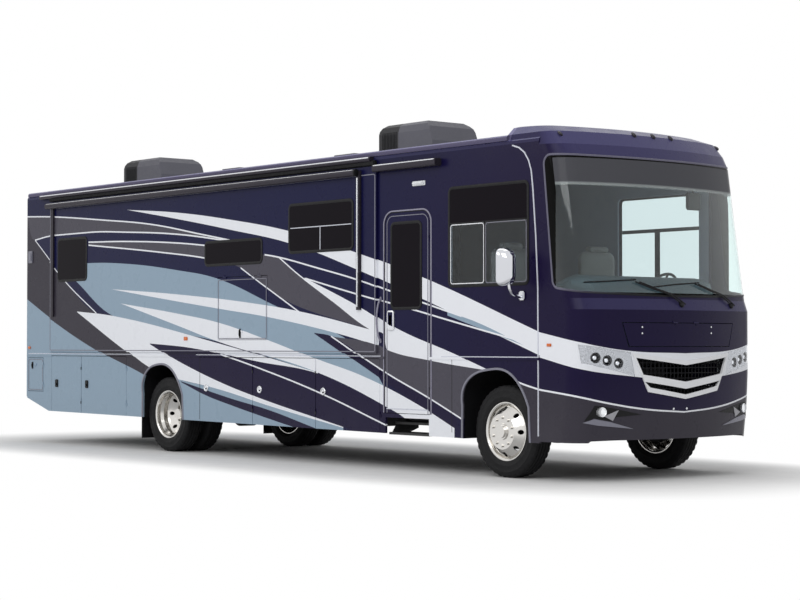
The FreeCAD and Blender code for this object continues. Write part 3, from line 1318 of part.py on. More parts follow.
def slide_room():
    """The slide-out room: an outer face with windows, and a floor, roof and end walls behind it."""
    face_outer = slide_face()
    gap = SEAT_GAP
    panel = SLIDE_PANEL
    x0 = SLIDE_START + SLIDE_FLANGE + SLIDE_RUN_GAP
    x1 = SLIDE_END - SLIDE_FLANGE - SLIDE_RUN_GAP
    z0 = SLIDE_BOTTOM + SLIDE_FLANGE + SLIDE_RUN_GAP
    z1 = SLIDE_TOP - SLIDE_FLANGE - SLIDE_RUN_GAP
    inner = HALF_WIDTH - SLIDE_DEPTH
    walls = [box(x0, x1, inner, HALF_WIDTH, z0, z0 + panel), box(x0, x1, inner, HALF_WIDTH, z1 - panel, z1)]
    for start in (x0, x1 - panel):
        walls.append(box(start, start + panel, inner, HALF_WIDTH, z0 + panel + gap, z1 - panel - gap))
    flange = box(SLIDE_START, SLIDE_END, HALF_WIDTH + gap, face_outer, SLIDE_BOTTOM, SLIDE_TOP)
    lining = box(x0 + panel + gap, x1 - panel - gap, face_outer - WALL_THICKNESS, HALF_WIDTH + gap * 2,
                 z0 + panel + gap, z1 - panel - gap)
    cuts = []
    for start, length, low, high in SLIDE_WINDOWS:
        cuts.append(through_wall(start, start + length, low, high, PANE_CORNER))
    s0, s1, t0, t1 = screen_door_bounds()
    cuts.append(box(s0, s1, face_outer - SLIDE_FLANGE_THICKNESS, face_outer + CUT_OVERRUN, t0, t1))
    face = joined([flange, lining]).cut(cuts)
    return [mirrored(hang(None, face, screen_hinges())[1])] + [mirrored(wall) for wall in walls]


def slide_windows():
    return [pane(start, start + length, low, high, slide_face(), -1) for start, length, low,
            high in SLIDE_WINDOWS]


def screen_door():
    outer = slide_face()
    s0, s1, t0, t1 = screen_door_bounds()
    gap = DOOR_GAP
    panel = box(s0 + gap, s1 - gap, outer - SCREEN_THICKNESS, outer, t0 + gap, t1 - gap)
    spot = Vector((s0 + s1) / 2, outer - LATCH_PROUD, t0 + LATCH_INSET * 0.7)
    latch = cylinder(LATCH_RADIUS * 0.8, spot, spot + Vector(0, LATCH_PROUD * 2, 0))
    return mirrored(hang(joined([panel, latch]), None, screen_hinges())[0])


def slide_awning():
    """The rolled patio awning with its two support arms on the slide face."""
    face = slide_face() + SEAT_GAP
    centre = face + AWNING_STANDOFF + AWNING_RADIUS
    end = SLIDE_END - AWNING_END_BACK
    roller = cylinder(AWNING_RADIUS, Vector(AWNING_START, centre, AWNING_HEIGHT),
                      Vector(end, centre, AWNING_HEIGHT))
    pieces = [roller]
    for start in (AWNING_START + AWNING_ARM_WIDTH, end - AWNING_ARM_WIDTH / 3):
        pieces.append(box(start, start + AWNING_ARM_WIDTH, face, face + AWNING_ARM_DEPTH, AWNING_ARM_BOTTOM,
                          AWNING_HEIGHT + AWNING_RADIUS * 0.6))
    return mirrored(joined(pieces))


def wall_rollers():
    """The slide topper roll along the roof edge and the small door awning."""
    end = SLIDE_END - AWNING_END_BACK / 4
    centre = HALF_WIDTH + TOPPER_RADIUS + AWNING_STANDOFF
    pieces = [cylinder(TOPPER_RADIUS, Vector(TOPPER_START, centre, TOPPER_HEIGHT),
                       Vector(end, centre, TOPPER_HEIGHT))]
    for start in (TOPPER_START, end - AWNING_ARM_DEPTH):
        pieces.append(box(start, start + AWNING_ARM_DEPTH, HALF_WIDTH + SEAT_GAP, centre,
                          TOPPER_HEIGHT - TOPPER_RADIUS,
                          TOPPER_HEIGHT + TOPPER_RADIUS))
    topper = joined(pieces)
    start = DOOR_REAR - DOOR_AWNING_BEHIND
    level = DOOR_AWNING_HEIGHT
    case = rounded_box(start, start + DOOR_AWNING_LENGTH, HALF_WIDTH + SEAT_GAP,
                       HALF_WIDTH + AWNING_RADIUS * 2.4,
                       level - AWNING_RADIUS, level + AWNING_RADIUS, AWNING_RADIUS * 0.6, Vector(1, 0, 0))
    return [mirrored(topper), mirrored(case)]


# Roof and caps

def roof_outline(drop):
    """Half of the crowned roof section from the edge to the middle, as arc points."""
    edge = HALF_WIDTH - drop
    high = ROOF_EDGE_HEIGHT
    points = [(edge, high - ROOF_EDGE_RADIUS)]
    for step in (30, 60):
        turn = math.radians(step)
        points.append((edge - ROOF_EDGE_RADIUS * (1 - math.cos(turn)),
                       high - ROOF_EDGE_RADIUS * (1 - math.sin(turn))))
    for share in (0.93, 0.75, 0.5, 0.25, 0.0):
        points.append((edge * share, high + (ROOF_CROWN_HEIGHT - high) * (1 - share * share)))
    return points


def roof_height(side):
    share = abs(side) / HALF_WIDTH
    return ROOF_EDGE_HEIGHT + (ROOF_CROWN_HEIGHT - ROOF_EDGE_HEIGHT) * (1 - share * share)


def roof_solid(x0, x1):
    half = roof_outline(0)
    right = [(-y, z) for y, z in reversed(half[:-1])]
    outline = [(HALF_WIDTH, CEILING_HEIGHT)] + half + right + [(-HALF_WIDTH, CEILING_HEIGHT)]
    return prism_x(outline, x0, x1)


def front_cap():
    """The moulded front cap with its openings for glass, lamps, grille and access panel."""
    back = CAP_SEAM - BROW_OVER_ROOF
    outer = cap_body(0, back)
    inner = cap_body(CAP_WALL, back + CAP_WALL)
    shell = outer.cut(inner)
    behind = box(back - CUT_OVERRUN, CAP_SEAM, -HALF_WIDTH - CUT_OVERRUN, HALF_WIDTH + CUT_OVERRUN,
                 CAP_BOTTOM - CUT_OVERRUN, ROOF_EDGE_HEIGHT - ROOF_EDGE_RADIUS)
    shell = shell.cut([behind, roof_solid(back - CUT_OVERRUN, CAP_SEAM + SEAT_GAP)])
    cuts = [windshield_cutter(0), hood_outline(0)]
    start = CAP_SEAM
    for side in (1, -1):
        cuts.append(lamp_outline(side, start, 0))
        cuts.append(fog_lamp(side, SEAT_GAP))
    cuts.append(front_outline(grille_opening(0), start))
    return hang(None, shell.cut(cuts), hood_hinges())[1]


def windshield_cutter(gap):
    """The side-view outline of the wrap-round windshield, across the whole body."""
    x_low = CAP_SEAM + GLASS_SIDE_BOTTOM_AHEAD + gap
    x_high = CAP_SEAM + GLASS_SIDE_TOP_AHEAD + gap
    front = NOSE + CUT_OVERRUN
    drop = (GLASS_SIDE_BOTTOM_HEIGHT - GLASS_BOTTOM_HEIGHT) * CUT_OVERRUN / FRONT_OVERHANG
    outline = [(x_low, GLASS_SIDE_BOTTOM_HEIGHT + gap), (front, GLASS_BOTTOM_HEIGHT - drop + gap),
               (front, GLASS_TOP_HEIGHT - gap), (x_high, GLASS_SIDE_TOP_HEIGHT - gap)]
    solid = prism_y(outline, -HALF_WIDTH - CUT_OVERRUN, HALF_WIDTH + CUT_OVERRUN)
    edges = []
    for edge in solid.Edges:
        direction = edge.tangentAt(edge.FirstParameter)
        if abs(abs(direction.y) - 1) < 0.001 and edge.Vertexes[0].Point.x < front - RUN_GAP:
            edges.append(edge)
    return solid.makeFillet(WINDSHIELD_CORNER, edges)


def windshield():
    return cap_skin(WINDSHIELD_SINK, WINDSHIELD_SINK + WINDSHIELD_THICKNESS, windshield_cutter(SEAT_GAP))


def hood_outline(gap):
    side_gap = gap * HOOD_SIDE_SHARE
    top_half = HOOD_TOP_HALF - side_gap
    bottom_half = HOOD_BOTTOM_HALF - side_gap
    points = [(top_half, HOOD_TOP - gap), (bottom_half, HOOD_BOTTOM + gap),
              (-bottom_half, HOOD_BOTTOM + gap), (-top_half, HOOD_TOP - gap)]
    return front_outline(points, CAP_SEAM)


def front_hood():
    """The front access panel: a thin skin over a smaller stiff back."""
    skin = cap_skin(0, HOOD_SKIN, hood_outline(DOOR_GAP))
    back = cap_skin(HOOD_SKIN / 2, CAP_WALL, hood_outline(DOOR_GAP + HOOD_BACK_INSET))
    return hang(joined([skin, back]), None, hood_hinges())[0]


def lamp_outline(side, start, gap):
    points = [(LAMP_INNER_TOP[0] + gap, LAMP_INNER_TOP[1] - gap),
              (LAMP_OUTER_TOP[0] - gap, LAMP_OUTER_TOP[1] - gap),
              (LAMP_OUTER_BOTTOM[0] - gap, LAMP_OUTER_BOTTOM[1] + gap),
              (LAMP_INNER_BOTTOM[0] + gap, LAMP_INNER_BOTTOM[1] + gap)]
    return front_outline([(side * y, z) for y, z in points], start)


def headlamps():
    """Lamp bodies behind the lenses, each with three round bowls, and the fog lamps."""
    pieces = []
    for side in (1, -1):
        lamp = cap_skin(LENS_SINK + LENS_THICKNESS + SEAT_GAP, LAMP_BODY_DEPTH,
                        lamp_outline(side, CAP_SEAM, SEAT_GAP))
        bowls = []
        for outset, height in zip(LAMP_BOWL_OUTSETS, LAMP_BOWL_HEIGHTS):
            surface = cap_front(outset)
            start = Vector(surface - LAMP_BODY_DEPTH * 0.75, side * outset, height)
            bowls.append(cylinder(LAMP_BOWL_RADIUS, start, start + Vector(CUT_OVERRUN, 0, 0)))
        pieces.append(lamp.cut(bowls))
        pieces.append(fog_lamp(side, 0))
    return pieces


def fog_lamp(side, gap):
    """A short round lamp through the chin, grown by a gap for its hole."""
    surface = cap_front(FOG_OUTSET) - CAP_CHIN_SETBACK
    start = Vector(surface - FOG_RADIUS * 2, side * FOG_OUTSET, FOG_HEIGHT)
    return cylinder(FOG_RADIUS + gap, start, start + Vector(FOG_RADIUS * 2.5, 0, 0))


def cap_front(side):
    """Station of the cap's bowed face at a distance from the middle."""
    return NOSE - CAP_ARC_RADIUS + math.sqrt(CAP_ARC_RADIUS ** 2 - side ** 2)


def lamp_lenses():
    return [cap_skin(LENS_SINK, LENS_SINK + LENS_THICKNESS, lamp_outline(side, CAP_SEAM, SEAT_GAP))
            for side in (1, -1)]


def chevron(half_top, top, half_low, low):
    """A front-view band whose upper and lower edges dip to the middle."""
    return [(half_top, top), (half_low, low), (0, low - GRILLE_VEE), (-half_low, low), (-half_top, top),
            (0, top - GRILLE_VEE)]


def grille_opening(grow):
    return chevron(GRILLE_TOP_HALF + grow, GRILLE_TOP + grow, GRILLE_BOTTOM_HALF + grow,
                   GRILLE_BOTTOM - grow)


def grille():
    """A raised rim and cross bar around two meshes of thin bars."""
    gap = SEAT_GAP
    opening = front_outline(grille_opening(-gap), CAP_SEAM)
    upper = front_outline(chevron(GRILLE_TOP_HALF - GRILLE_RIM, GRILLE_TOP - GRILLE_RIM,
                                  GRILLE_BAR_HALF - GRILLE_RIM / 2, GRILLE_BAR_TOP), CAP_SEAM)
    lower = front_outline(chevron(GRILLE_BAR_HALF - GRILLE_RIM, GRILLE_BAR_TOP - GRILLE_BAR_WIDTH,
                                  GRILLE_BOTTOM_HALF - GRILLE_RIM / 2, GRILLE_BOTTOM + GRILLE_RIM),
                                  CAP_SEAM)
    rim = cap_skin(-GRILLE_RIM_PROUD, CAP_WALL * 2, opening.cut([upper, lower]))
    field = cap_skin(MESH_SINK, MESH_SINK + MESH_DEPTH, opening)
    bars = []
    count = int(GRILLE_TOP_HALF * 2 / MESH_PITCH)
    for index in range(count + 1):
        y = -GRILLE_TOP_HALF + index * MESH_PITCH
        bars.append(box(CAP_SEAM, NOSE, y - MESH_BAR / 2, y + MESH_BAR / 2, GRILLE_BOTTOM - GRILLE_VEE,
                        GRILLE_TOP))
    levels = int((GRILLE_TOP - GRILLE_BOTTOM + GRILLE_VEE) / MESH_PITCH)
    for index in range(levels + 1):
        z = GRILLE_BOTTOM - GRILLE_VEE + index * MESH_PITCH
        bars.append(box(CAP_SEAM, NOSE, -GRILLE_TOP_HALF, GRILLE_TOP_HALF, z - MESH_BAR / 2,
                        z + MESH_BAR / 2))
    mesh = field.common(joined(bars))
    return joined([rim, mesh])


def rear_section(height, setback, half):
    """A plan outline of the slightly bowed rear wall."""
    arc_radius = REAR_ARC_RADIUS
    corner = REAR_CORNER_RADIUS
    reach = math.sqrt((arc_radius - corner) ** 2 - (half - corner) ** 2)
    lean = math.atan2(half - corner, reach)
    arc_centre = setback + arc_radius
    corner_x = arc_centre - reach
    meet = Vector(arc_centre - arc_radius * math.cos(lean), arc_radius * math.sin(lean), height)
    mid_lean = (lean + math.pi / 2) / 2
    mid = Vector(corner_x - corner * math.cos(mid_lean), half - corner + corner * math.sin(mid_lean),
                 height)
    side = Vector(corner_x, half, height)
    front = Vector(corner_x + REAR_CAP_DEPTH * 4, half, height)

    def flip(point):
        return Vector(point.x, -point.y, point.z)

    return Part.Wire([
        Part.LineSegment(flip(front), flip(side)).toShape(),
        Part.Arc(flip(side), flip(mid), flip(meet)).toShape(),
        Part.Arc(flip(meet), Vector(setback, 0, height), meet).toShape(),
        Part.Arc(meet, mid, side).toShape(), Part.LineSegment(side, front).toShape(),
        Part.LineSegment(front, flip(front)).toShape(),
    ])


def rear_cap():
    """The rear wall with rounded corners and recessed lamp seats."""
    def body(inset, low, high):
        wires = [rear_section(low, inset, HALF_WIDTH - inset),
                 rear_section(REAR_BROW_HEIGHT, inset, HALF_WIDTH - inset),
                 rear_section(high, inset + REAR_TOP_SETBACK, HALF_WIDTH - inset - REAR_TOP_SETBACK)]
        return Part.makeLoft(wires, True, True)

    outer = body(0, REAR_CAP_BOTTOM, ROOF_CROWN_HEIGHT)
    outer = outer.common(joined([roof_solid(0, REAR_CAP_DEPTH * 6),
                                 box(0, REAR_CAP_DEPTH * 6, -HALF_WIDTH, HALF_WIDTH, REAR_CAP_BOTTOM,
                                     CEILING_HEIGHT)]))
    inner = body(REAR_CAP_WALL, REAR_CAP_BOTTOM - CUT_OVERRUN, ROOF_EDGE_HEIGHT - ROOF_EDGE_RADIUS)
    ahead = box(REAR_CAP_DEPTH - SEAT_GAP, REAR_CAP_DEPTH * 8, -HALF_WIDTH, HALF_WIDTH, REAR_CAP_BOTTOM,
                ROOF_CROWN_HEIGHT)
    seats = []
    for side in (1, -1):
        seats.append(tail_lamp(side, SEAT_GAP))
    return outer.cut([inner, ahead] + seats)


def tail_lamp(side, gap):
    centre = side * TAIL_LAMP_OUTSET
    half = TAIL_LAMP_HALF + gap
    surface = REAR_ARC_RADIUS - math.sqrt(REAR_ARC_RADIUS ** 2 - TAIL_LAMP_OUTSET ** 2)
    return box(surface - LAMP_PROUD * (1 if gap == 0 else 4), surface + LAMP_PROUD * 2 + gap, centre - half,
               centre + half, TAIL_LAMP_BOTTOM - gap, TAIL_LAMP_TOP + gap)


def marker_lamps():
    """Clearance lamps on the brow, side markers and tail lamps."""
    pieces = []
    for outset in BROW_LAMP_OUTSETS:
        x, z = brow_spot(outset)
        lamp = rounded_box(x - BROW_LAMP_WIDTH, x + BROW_LAMP_WIDTH, outset - BROW_LAMP_LENGTH / 2,
                           outset + BROW_LAMP_LENGTH / 2, z - BROW_LAMP_HEIGHT, z + BROW_LAMP_HEIGHT,
                           BROW_LAMP_WIDTH * 0.4, Vector(0, 1, 0))
        pieces.append(lamp.cut(cap_body(-SEAT_GAP, CAP_SEAM - BROW_OVER_ROOF)))
    for side in (1, -1):
        pieces.append(tail_lamp(side, 0))
    face = slide_face() + SEAT_GAP
    marker = box(MARKER_STATION, MARKER_STATION + MARKER_LENGTH, face, face + LAMP_PROUD, MARKER_HEIGHT,
                 MARKER_HEIGHT + MARKER_WIDTH)
    cap_marker_x = CAP_SEAM + MARKER_LENGTH * 1.8
    cap_marker = box(cap_marker_x, cap_marker_x + MARKER_LENGTH, HALF_WIDTH + SEAT_GAP,
                     HALF_WIDTH + LAMP_PROUD,
                     CAP_MARKER_HEIGHT, CAP_MARKER_HEIGHT + MARKER_WIDTH)
    return pieces, mirrored(marker), both_sides(cap_marker)


def brow_spot(outset):
    """A point on the brow two thirds of the way up, at a distance from the middle."""
    share = 0.55 if abs(outset) < HALF_WIDTH / 2 else 0.42
    turn = share * math.pi / 2
    rise = (BROW_TOP_HEIGHT - BROW_HEIGHT) * math.sin(turn)
    back = BROW_SETBACK + (BROW_TOP_SETBACK - BROW_SETBACK) * (1 - math.cos(turn))
    bow = CAP_ARC_RADIUS - math.sqrt(CAP_ARC_RADIUS ** 2 - outset ** 2)
    return NOSE - back - bow, BROW_HEIGHT + rise


# Roof equipment

def air_conditioners():
    """Two rooftop units with sloped noses and two roof vents."""
    units = []
    half = COOLER_WIDTH / 2
    top = ROOF_CROWN_HEIGHT + COOLER_HEIGHT
    for station in (COOLER_REAR_STATION, COOLER_FRONT_STATION):
        end = station + COOLER_LENGTH
        base = roof_height(half) - COOLER_RADIUS
        side_view = [(station, base), (end, base), (end, base + COOLER_RADIUS * 3),
                     (end - COOLER_RADIUS, top - COOLER_RADIUS),
                     (end - COOLER_SLOPE, top), (station + COOLER_RADIUS, top),
                     (station, top - COOLER_RADIUS)]
        front_view = [(half, base), (half, top - COOLER_RADIUS * 1.6),
                      (half - COOLER_RADIUS * 0.4, top - COOLER_RADIUS * 0.5),
                      (half - COOLER_RADIUS * 1.2, top)]
        front_view += [(-y, z) for y, z in reversed(front_view)]
        shroud = prism_y(side_view, -half, half).common(prism_x(front_view, station, end))
        units.append(shroud.cut(roof_solid(station - CUT_OVERRUN, end + CUT_OVERRUN)))
    for station in VENT_STATIONS:
        base = roof_height(VENT_SIZE / 2) - VENT_HEIGHT
        vent = rounded_box(station, station + VENT_SIZE, -VENT_SIZE / 2, VENT_SIZE / 2, base,
                           ROOF_CROWN_HEIGHT + VENT_HEIGHT, COOLER_RADIUS * 0.5, Vector(0, 0, 1))
        units.append(vent.cut(roof_solid(station - CUT_OVERRUN, station + VENT_SIZE + CUT_OVERRUN)))
    return units


def rear_ladder():
    """A tube ladder on the rear wall that curls over the roof edge."""
    radius = LADDER_TUBE_RADIUS
    back = -LADDER_STANDOFF + radius
    top = ROOF_CROWN_HEIGHT + LADDER_ROOF_RISE
    pieces = []
    for offset in (-LADDER_HALF_WIDTH, LADDER_HALF_WIDTH):
        y = LADDER_OUTSET + offset
        surface = REAR_ARC_RADIUS - math.sqrt(REAR_ARC_RADIUS ** 2 - y ** 2)
        low = Vector(back, y, LADDER_BOTTOM)
        bend = Vector(back, y, top)
        over = Vector(LADDER_ROOF_REACH, y, top)
        foot = Vector(LADDER_ROOF_REACH, y, roof_height(y) + SEAT_GAP * 5)
        pieces += [cylinder(radius, low, bend), cylinder(radius, bend, over), cylinder(radius, over, foot),
                   Part.makeSphere(radius, bend), Part.makeSphere(radius, over)]
        for share in (0.03, 0.5, 0.9):
            z = LADDER_BOTTOM + share * (REAR_BROW_HEIGHT - LADDER_BOTTOM)
            pieces.append(cylinder(radius * 0.8, Vector(back, y, z), Vector(surface - SEAT_GAP, y, z)))
    for index in range(LADDER_RUNG_COUNT):
        z = LADDER_BOTTOM + (index + 0.6) * (top - LADDER_BOTTOM) / LADDER_RUNG_COUNT
        pieces.append(cylinder(radius * 0.9, Vector(back, LADDER_OUTSET - LADDER_HALF_WIDTH, z),
                               Vector(back, LADDER_OUTSET + LADDER_HALF_WIDTH, z)))
    return joined(pieces)


# Mirrors, wipers and handle

def mirror_left():
    x = FRONT_AXLE + MIRROR_AHEAD
    head = rounded_box(x - MIRROR_DEPTH / 2, x + MIRROR_DEPTH / 2, MIRROR_OUTSET - MIRROR_HALF_WIDTH,
                       MIRROR_OUTSET + MIRROR_HALF_WIDTH, MIRROR_BOTTOM, MIRROR_TOP, MIRROR_ARM_RADIUS * 2,
                       Vector(1, 0, 0))
    foot_x = FRONT_AXLE + MIRROR_FOOT_AHEAD
    foot = Vector(foot_x, HALF_WIDTH + SEAT_GAP, MIRROR_FOOT_HEIGHT)
    elbow = Vector(foot_x, HALF_WIDTH + MIRROR_ARM_RADIUS * 5, MIRROR_FOOT_HEIGHT)
    tip = Vector(x, MIRROR_OUTSET, MIRROR_BOTTOM + MIRROR_ARM_RADIUS)
    pieces = [head, cylinder(MIRROR_ARM_RADIUS, foot, elbow), cylinder(MIRROR_ARM_RADIUS, elbow, tip),
              Part.makeSphere(MIRROR_ARM_RADIUS, elbow),
              cylinder(MIRROR_ARM_RADIUS * 2, foot, foot + Vector(0, MIRROR_ARM_RADIUS, 0))]
    return joined(pieces)


def face_point(side, height):
    """A point on the cap's outer face between two of its levels."""
    rows = cap_stations()
    for low, high in zip(rows[:-1], rows[1:]):
        if low[0] <= height <= high[0]:
            share = (height - low[0]) / (high[0] - low[0])
            setback = low[1] + (high[1] - low[1]) * share
    return Vector(cap_front(side) - setback, side, height)


def wipers():
    """Two parked wipers lying across the foot of the windshield."""
    arms = []
    for pivot in WIPER_PIVOTS:
        lift = Vector(WIPER_SECTION + WIPER_GAP, 0, 0)
        lean = math.hypot(GLASS_BOTTOM_SETBACK / (GLASS_BOTTOM_HEIGHT - CAP_LEDGE_HEIGHT),
                          pivot / CAP_ARC_RADIUS)
        seat = face_point(pivot, WIPER_PIVOT_HEIGHT) + Vector(WIPER_SECTION * lean + SEAT_GAP, 0, 0)
        base = seat + lift
        tip_y = pivot - WIPER_ARM_LENGTH * 0.95
        tip = face_point(tip_y, WIPER_BLADE_HEIGHT) + lift
        left = face_point(tip_y - WIPER_BLADE_LENGTH / 2, WIPER_BLADE_HEIGHT) + lift
        right = face_point(tip_y + WIPER_BLADE_LENGTH / 2, WIPER_BLADE_HEIGHT) + lift
        post = cylinder(WIPER_SECTION, seat, base)
        pieces = [post, cylinder(WIPER_SECTION / 2, base, tip), cylinder(WIPER_SECTION / 2, left, tip),
                  cylinder(WIPER_SECTION / 2, tip, right), Part.makeSphere(WIPER_SECTION / 2, tip)]
        arms.append(joined(pieces))
    return arms


def grab_handle():
    x = (SLIDE_END + DOOR_REAR) / 2
    out = HALF_WIDTH + GRAB_STANDOFF
    low = Vector(x, out, GRAB_BOTTOM)
    high = Vector(x, out, GRAB_TOP)
    pieces = [cylinder(GRAB_RADIUS, low, high), Part.makeSphere(GRAB_RADIUS, low),
              Part.makeSphere(GRAB_RADIUS, high)]
    for end in (low, high):
        pieces.append(cylinder(GRAB_RADIUS, end, Vector(x, HALF_WIDTH + SEAT_GAP, end.z)))
    return mirrored(joined(pieces))


# Entry steps

def step_middle():
    return (DOOR_REAR + DOOR_FRONT) / 2


def step_pivot():
    """The fixed pivot of the swinging arms, on the left as drawn, at the middle of the step."""
    return Vector(step_middle(), STEP_PIVOT_SIDE, STEP_PIVOT_HEIGHT)


def step_tip():
    turn = math.radians(STEP_STOW_ANGLE)
    return step_pivot() + Vector(0, -STEP_ARM_LENGTH * math.cos(turn), -STEP_ARM_LENGTH * math.sin(turn))


def link(start, end, x0, x1, width):
    """A flat bar with round ends, from one pin to the other."""
    along = end - start
    side = Vector(0, -along.z, along.y).normalize() * (width / 2)
    points = [start + side, end + side, end - side, start - side]
    bar = prism_x([(p.y, p.z) for p in points], x0, x1)
    caps = [cylinder(width / 2, Vector(x0, p.y, p.z), Vector(x1, p.y, p.z)) for p in (start, end)]
    return joined([bar] + caps)


def step_arms():
    """Both swinging arms, joined by a cross tube, with pins in the fixed brackets."""
    pieces = []
    bores = []
    pivot, tip = step_pivot(), step_tip()
    half = STEP_LENGTH / 2
    for side in (-1, 1):
        near = half + STEP_SIDE_GAP
        far = near + STEP_SIDE
        x0, x1 = sorted((step_middle() + side * near, step_middle() + side * far))
        pieces.append(link(pivot, tip, x0, x1, STEP_ARM_WIDTH))
        bores.append(cylinder(STEP_PIN_RADIUS + BEARING_GAP, Vector(x0 - STEP_SIDE, tip.y, tip.z),
                              Vector(x1 + STEP_SIDE, tip.y, tip.z)))
    reach = half + STEP_SIDE_GAP * 2 + STEP_SIDE * 2
    pieces.append(cylinder(STEP_PIN_RADIUS, pivot - Vector(reach, 0, 0), pivot + Vector(reach, 0, 0)))
    return mirrored(joined(pieces).cut(bores))


def step_treads():
    """Two treads between side plates that hang on the arms' tips."""
    tip = step_tip()
    half = STEP_LENGTH / 2
    x0, x1 = step_middle() - half, step_middle() + half
    low = STEP_LOWER_TOP
    high = low + STEP_RISE
    lower = box(x0, x1, STEP_NOSE - STEP_TREAD, STEP_NOSE, low - STEP_PLATE, low)
    upper = box(x0, x1, STEP_NOSE - STEP_UPPER_BACK - STEP_TREAD, STEP_NOSE - STEP_UPPER_BACK,
                high - STEP_PLATE, high)
    pieces = [lower, upper]
    outline = [(STEP_NOSE - STEP_PLATE, low - STEP_PLATE), (STEP_NOSE - STEP_UPPER_BACK - STEP_PLATE, high),
               (tip.y - STEP_ARM_WIDTH, high), (tip.y - STEP_ARM_WIDTH, tip.z - STEP_ARM_WIDTH),
               (STEP_NOSE - STEP_TREAD, low - STEP_PLATE)]
    for side in (-1, 1):
        p0, p1 = sorted((step_middle() + side * half, step_middle() + side * (half - STEP_SIDE)))
        pieces.append(prism_x(outline, p0, p1))
    reach = half + STEP_SIDE_GAP + STEP_SIDE
    for side in (-1, 1):
        inner = tip + Vector(side * (half - STEP_SIDE), 0, 0)
        pieces.append(cylinder(STEP_PIN_RADIUS, inner, tip + Vector(side * reach, 0, 0)))
    return mirrored(joined(pieces))


def step_brackets():
    """Fixed plates under the step well that carry the arms' pivot tube."""
    pivot = step_pivot()
    plates = []
    half = STEP_LENGTH / 2 + STEP_SIDE_GAP * 2 + STEP_SIDE
    for side in (-1, 1):
        x0, x1 = sorted((step_middle() + side * half, step_middle() + side * (half + STEP_SIDE)))
        plate = box(x0, x1, pivot.y - STEP_ARM_WIDTH, pivot.y + STEP_ARM_WIDTH,
                    pivot.z - STEP_ARM_WIDTH / 2,
                    DOOR_BOTTOM - STEPWELL_PLATE / 2)
        plates.append(plate.cut(cylinder(STEP_PIN_RADIUS + BEARING_GAP,
                                         Vector(x0 - STEP_SIDE, pivot.y, pivot.z),
                                         Vector(x1 + STEP_SIDE, pivot.y, pivot.z))))
    return [mirrored(plate) for plate in plates]


# Cab interior

def dashboard():
    """The dash across the cab, with the steering column."""
    x1 = CAP_SEAM + DASH_DEPTH
    x0 = CAP_SEAM - DASH_BEHIND_SEAM
    half = INNER_HALF - WALL_THICKNESS
    outline = [(x0, DASH_BOTTOM), (x1, DASH_BOTTOM), (x1, DASH_TOP - DASH_BEHIND_SEAM),
               (x0 + DASH_BEHIND_SEAM, DASH_TOP),
               (x0, DASH_TOP - DASH_BEHIND_SEAM)]
    dash = prism_y(outline, -half, half)
    foot = half - DASH_BEHIND_SEAM * 2
    support = box(CAP_SEAM - DASH_BEHIND_SEAM, CAP_SEAM, -foot, foot, BELT_HEIGHT + SEAT_GAP, DASH_BOTTOM)
    dash = joined([dash, support])
    dash = dash.common(cap_body(CAP_WALL + SEAT_GAP, x0 - CUT_OVERRUN))
    top = steering_centre()
    axis = steering_axis()
    column = cylinder(COLUMN_RADIUS, top - axis * (WHEEL_RIM_TUBE + BEARING_GAP),
                      top - axis * COLUMN_LENGTH)
    return joined([dash, column])


def steering_axis():
    turn = math.radians(COLUMN_TILT)
    return Vector(-math.sin(turn), 0, math.cos(turn))


def steering_centre():
    return Vector(FRONT_AXLE + STEERING_AHEAD, STEERING_OUTSET, STEERING_HEIGHT)


def steering_wheel():
    centre = steering_centre()
    axis = steering_axis()
    rim = Part.makeTorus(WHEEL_RIM_RADIUS, WHEEL_RIM_TUBE, centre, axis)
    hub = cylinder(WHEEL_HUB_RADIUS, centre - axis * WHEEL_RIM_TUBE, centre + axis * WHEEL_RIM_TUBE)
    across = Vector(0, 1, 0)
    down = axis.cross(across)
    spokes = []
    for turn in (0, 120, 240):
        direction = across * math.cos(math.radians(turn + 30)) + down * math.sin(math.radians(turn + 30))
        spokes.append(cylinder(WHEEL_RIM_TUBE * 0.8, centre, centre + direction * WHEEL_RIM_RADIUS))
    return joined([rim, hub] + spokes)


def cab_seats():
    x1 = FRONT_AXLE
    x0 = x1 - SEAT_LENGTH
    half = SEAT_WIDTH / 2
    y = SEAT_OUTSET
    cushion = rounded_box(x0, x1, y - half, y + half, SEAT_CUSHION_BOTTOM, SEAT_CUSHION_TOP,
                          SEAT_BACK_THICKNESS * 0.3,
                          Vector(0, 1, 0))
    back = rounded_box(x0 - SEAT_BACK_THICKNESS * 0.5, x0 + SEAT_BACK_THICKNESS * 0.5, y - half, y + half,
                       SEAT_CUSHION_TOP - SEAT_BACK_THICKNESS * 0.5, SEAT_BACK_TOP,
                       SEAT_BACK_THICKNESS * 0.4,
                       Vector(1, 0, 0))
    middle = (x0 + x1) / 2
    pedestal = box(middle - SEAT_PEDESTAL_HALF, middle + SEAT_PEDESTAL_HALF, y - SEAT_PEDESTAL_HALF,
                   y + SEAT_PEDESTAL_HALF, BELT_HEIGHT + SEAT_GAP, SEAT_CUSHION_BOTTOM)
    return both_sides(joined([cushion, back, pedestal]))


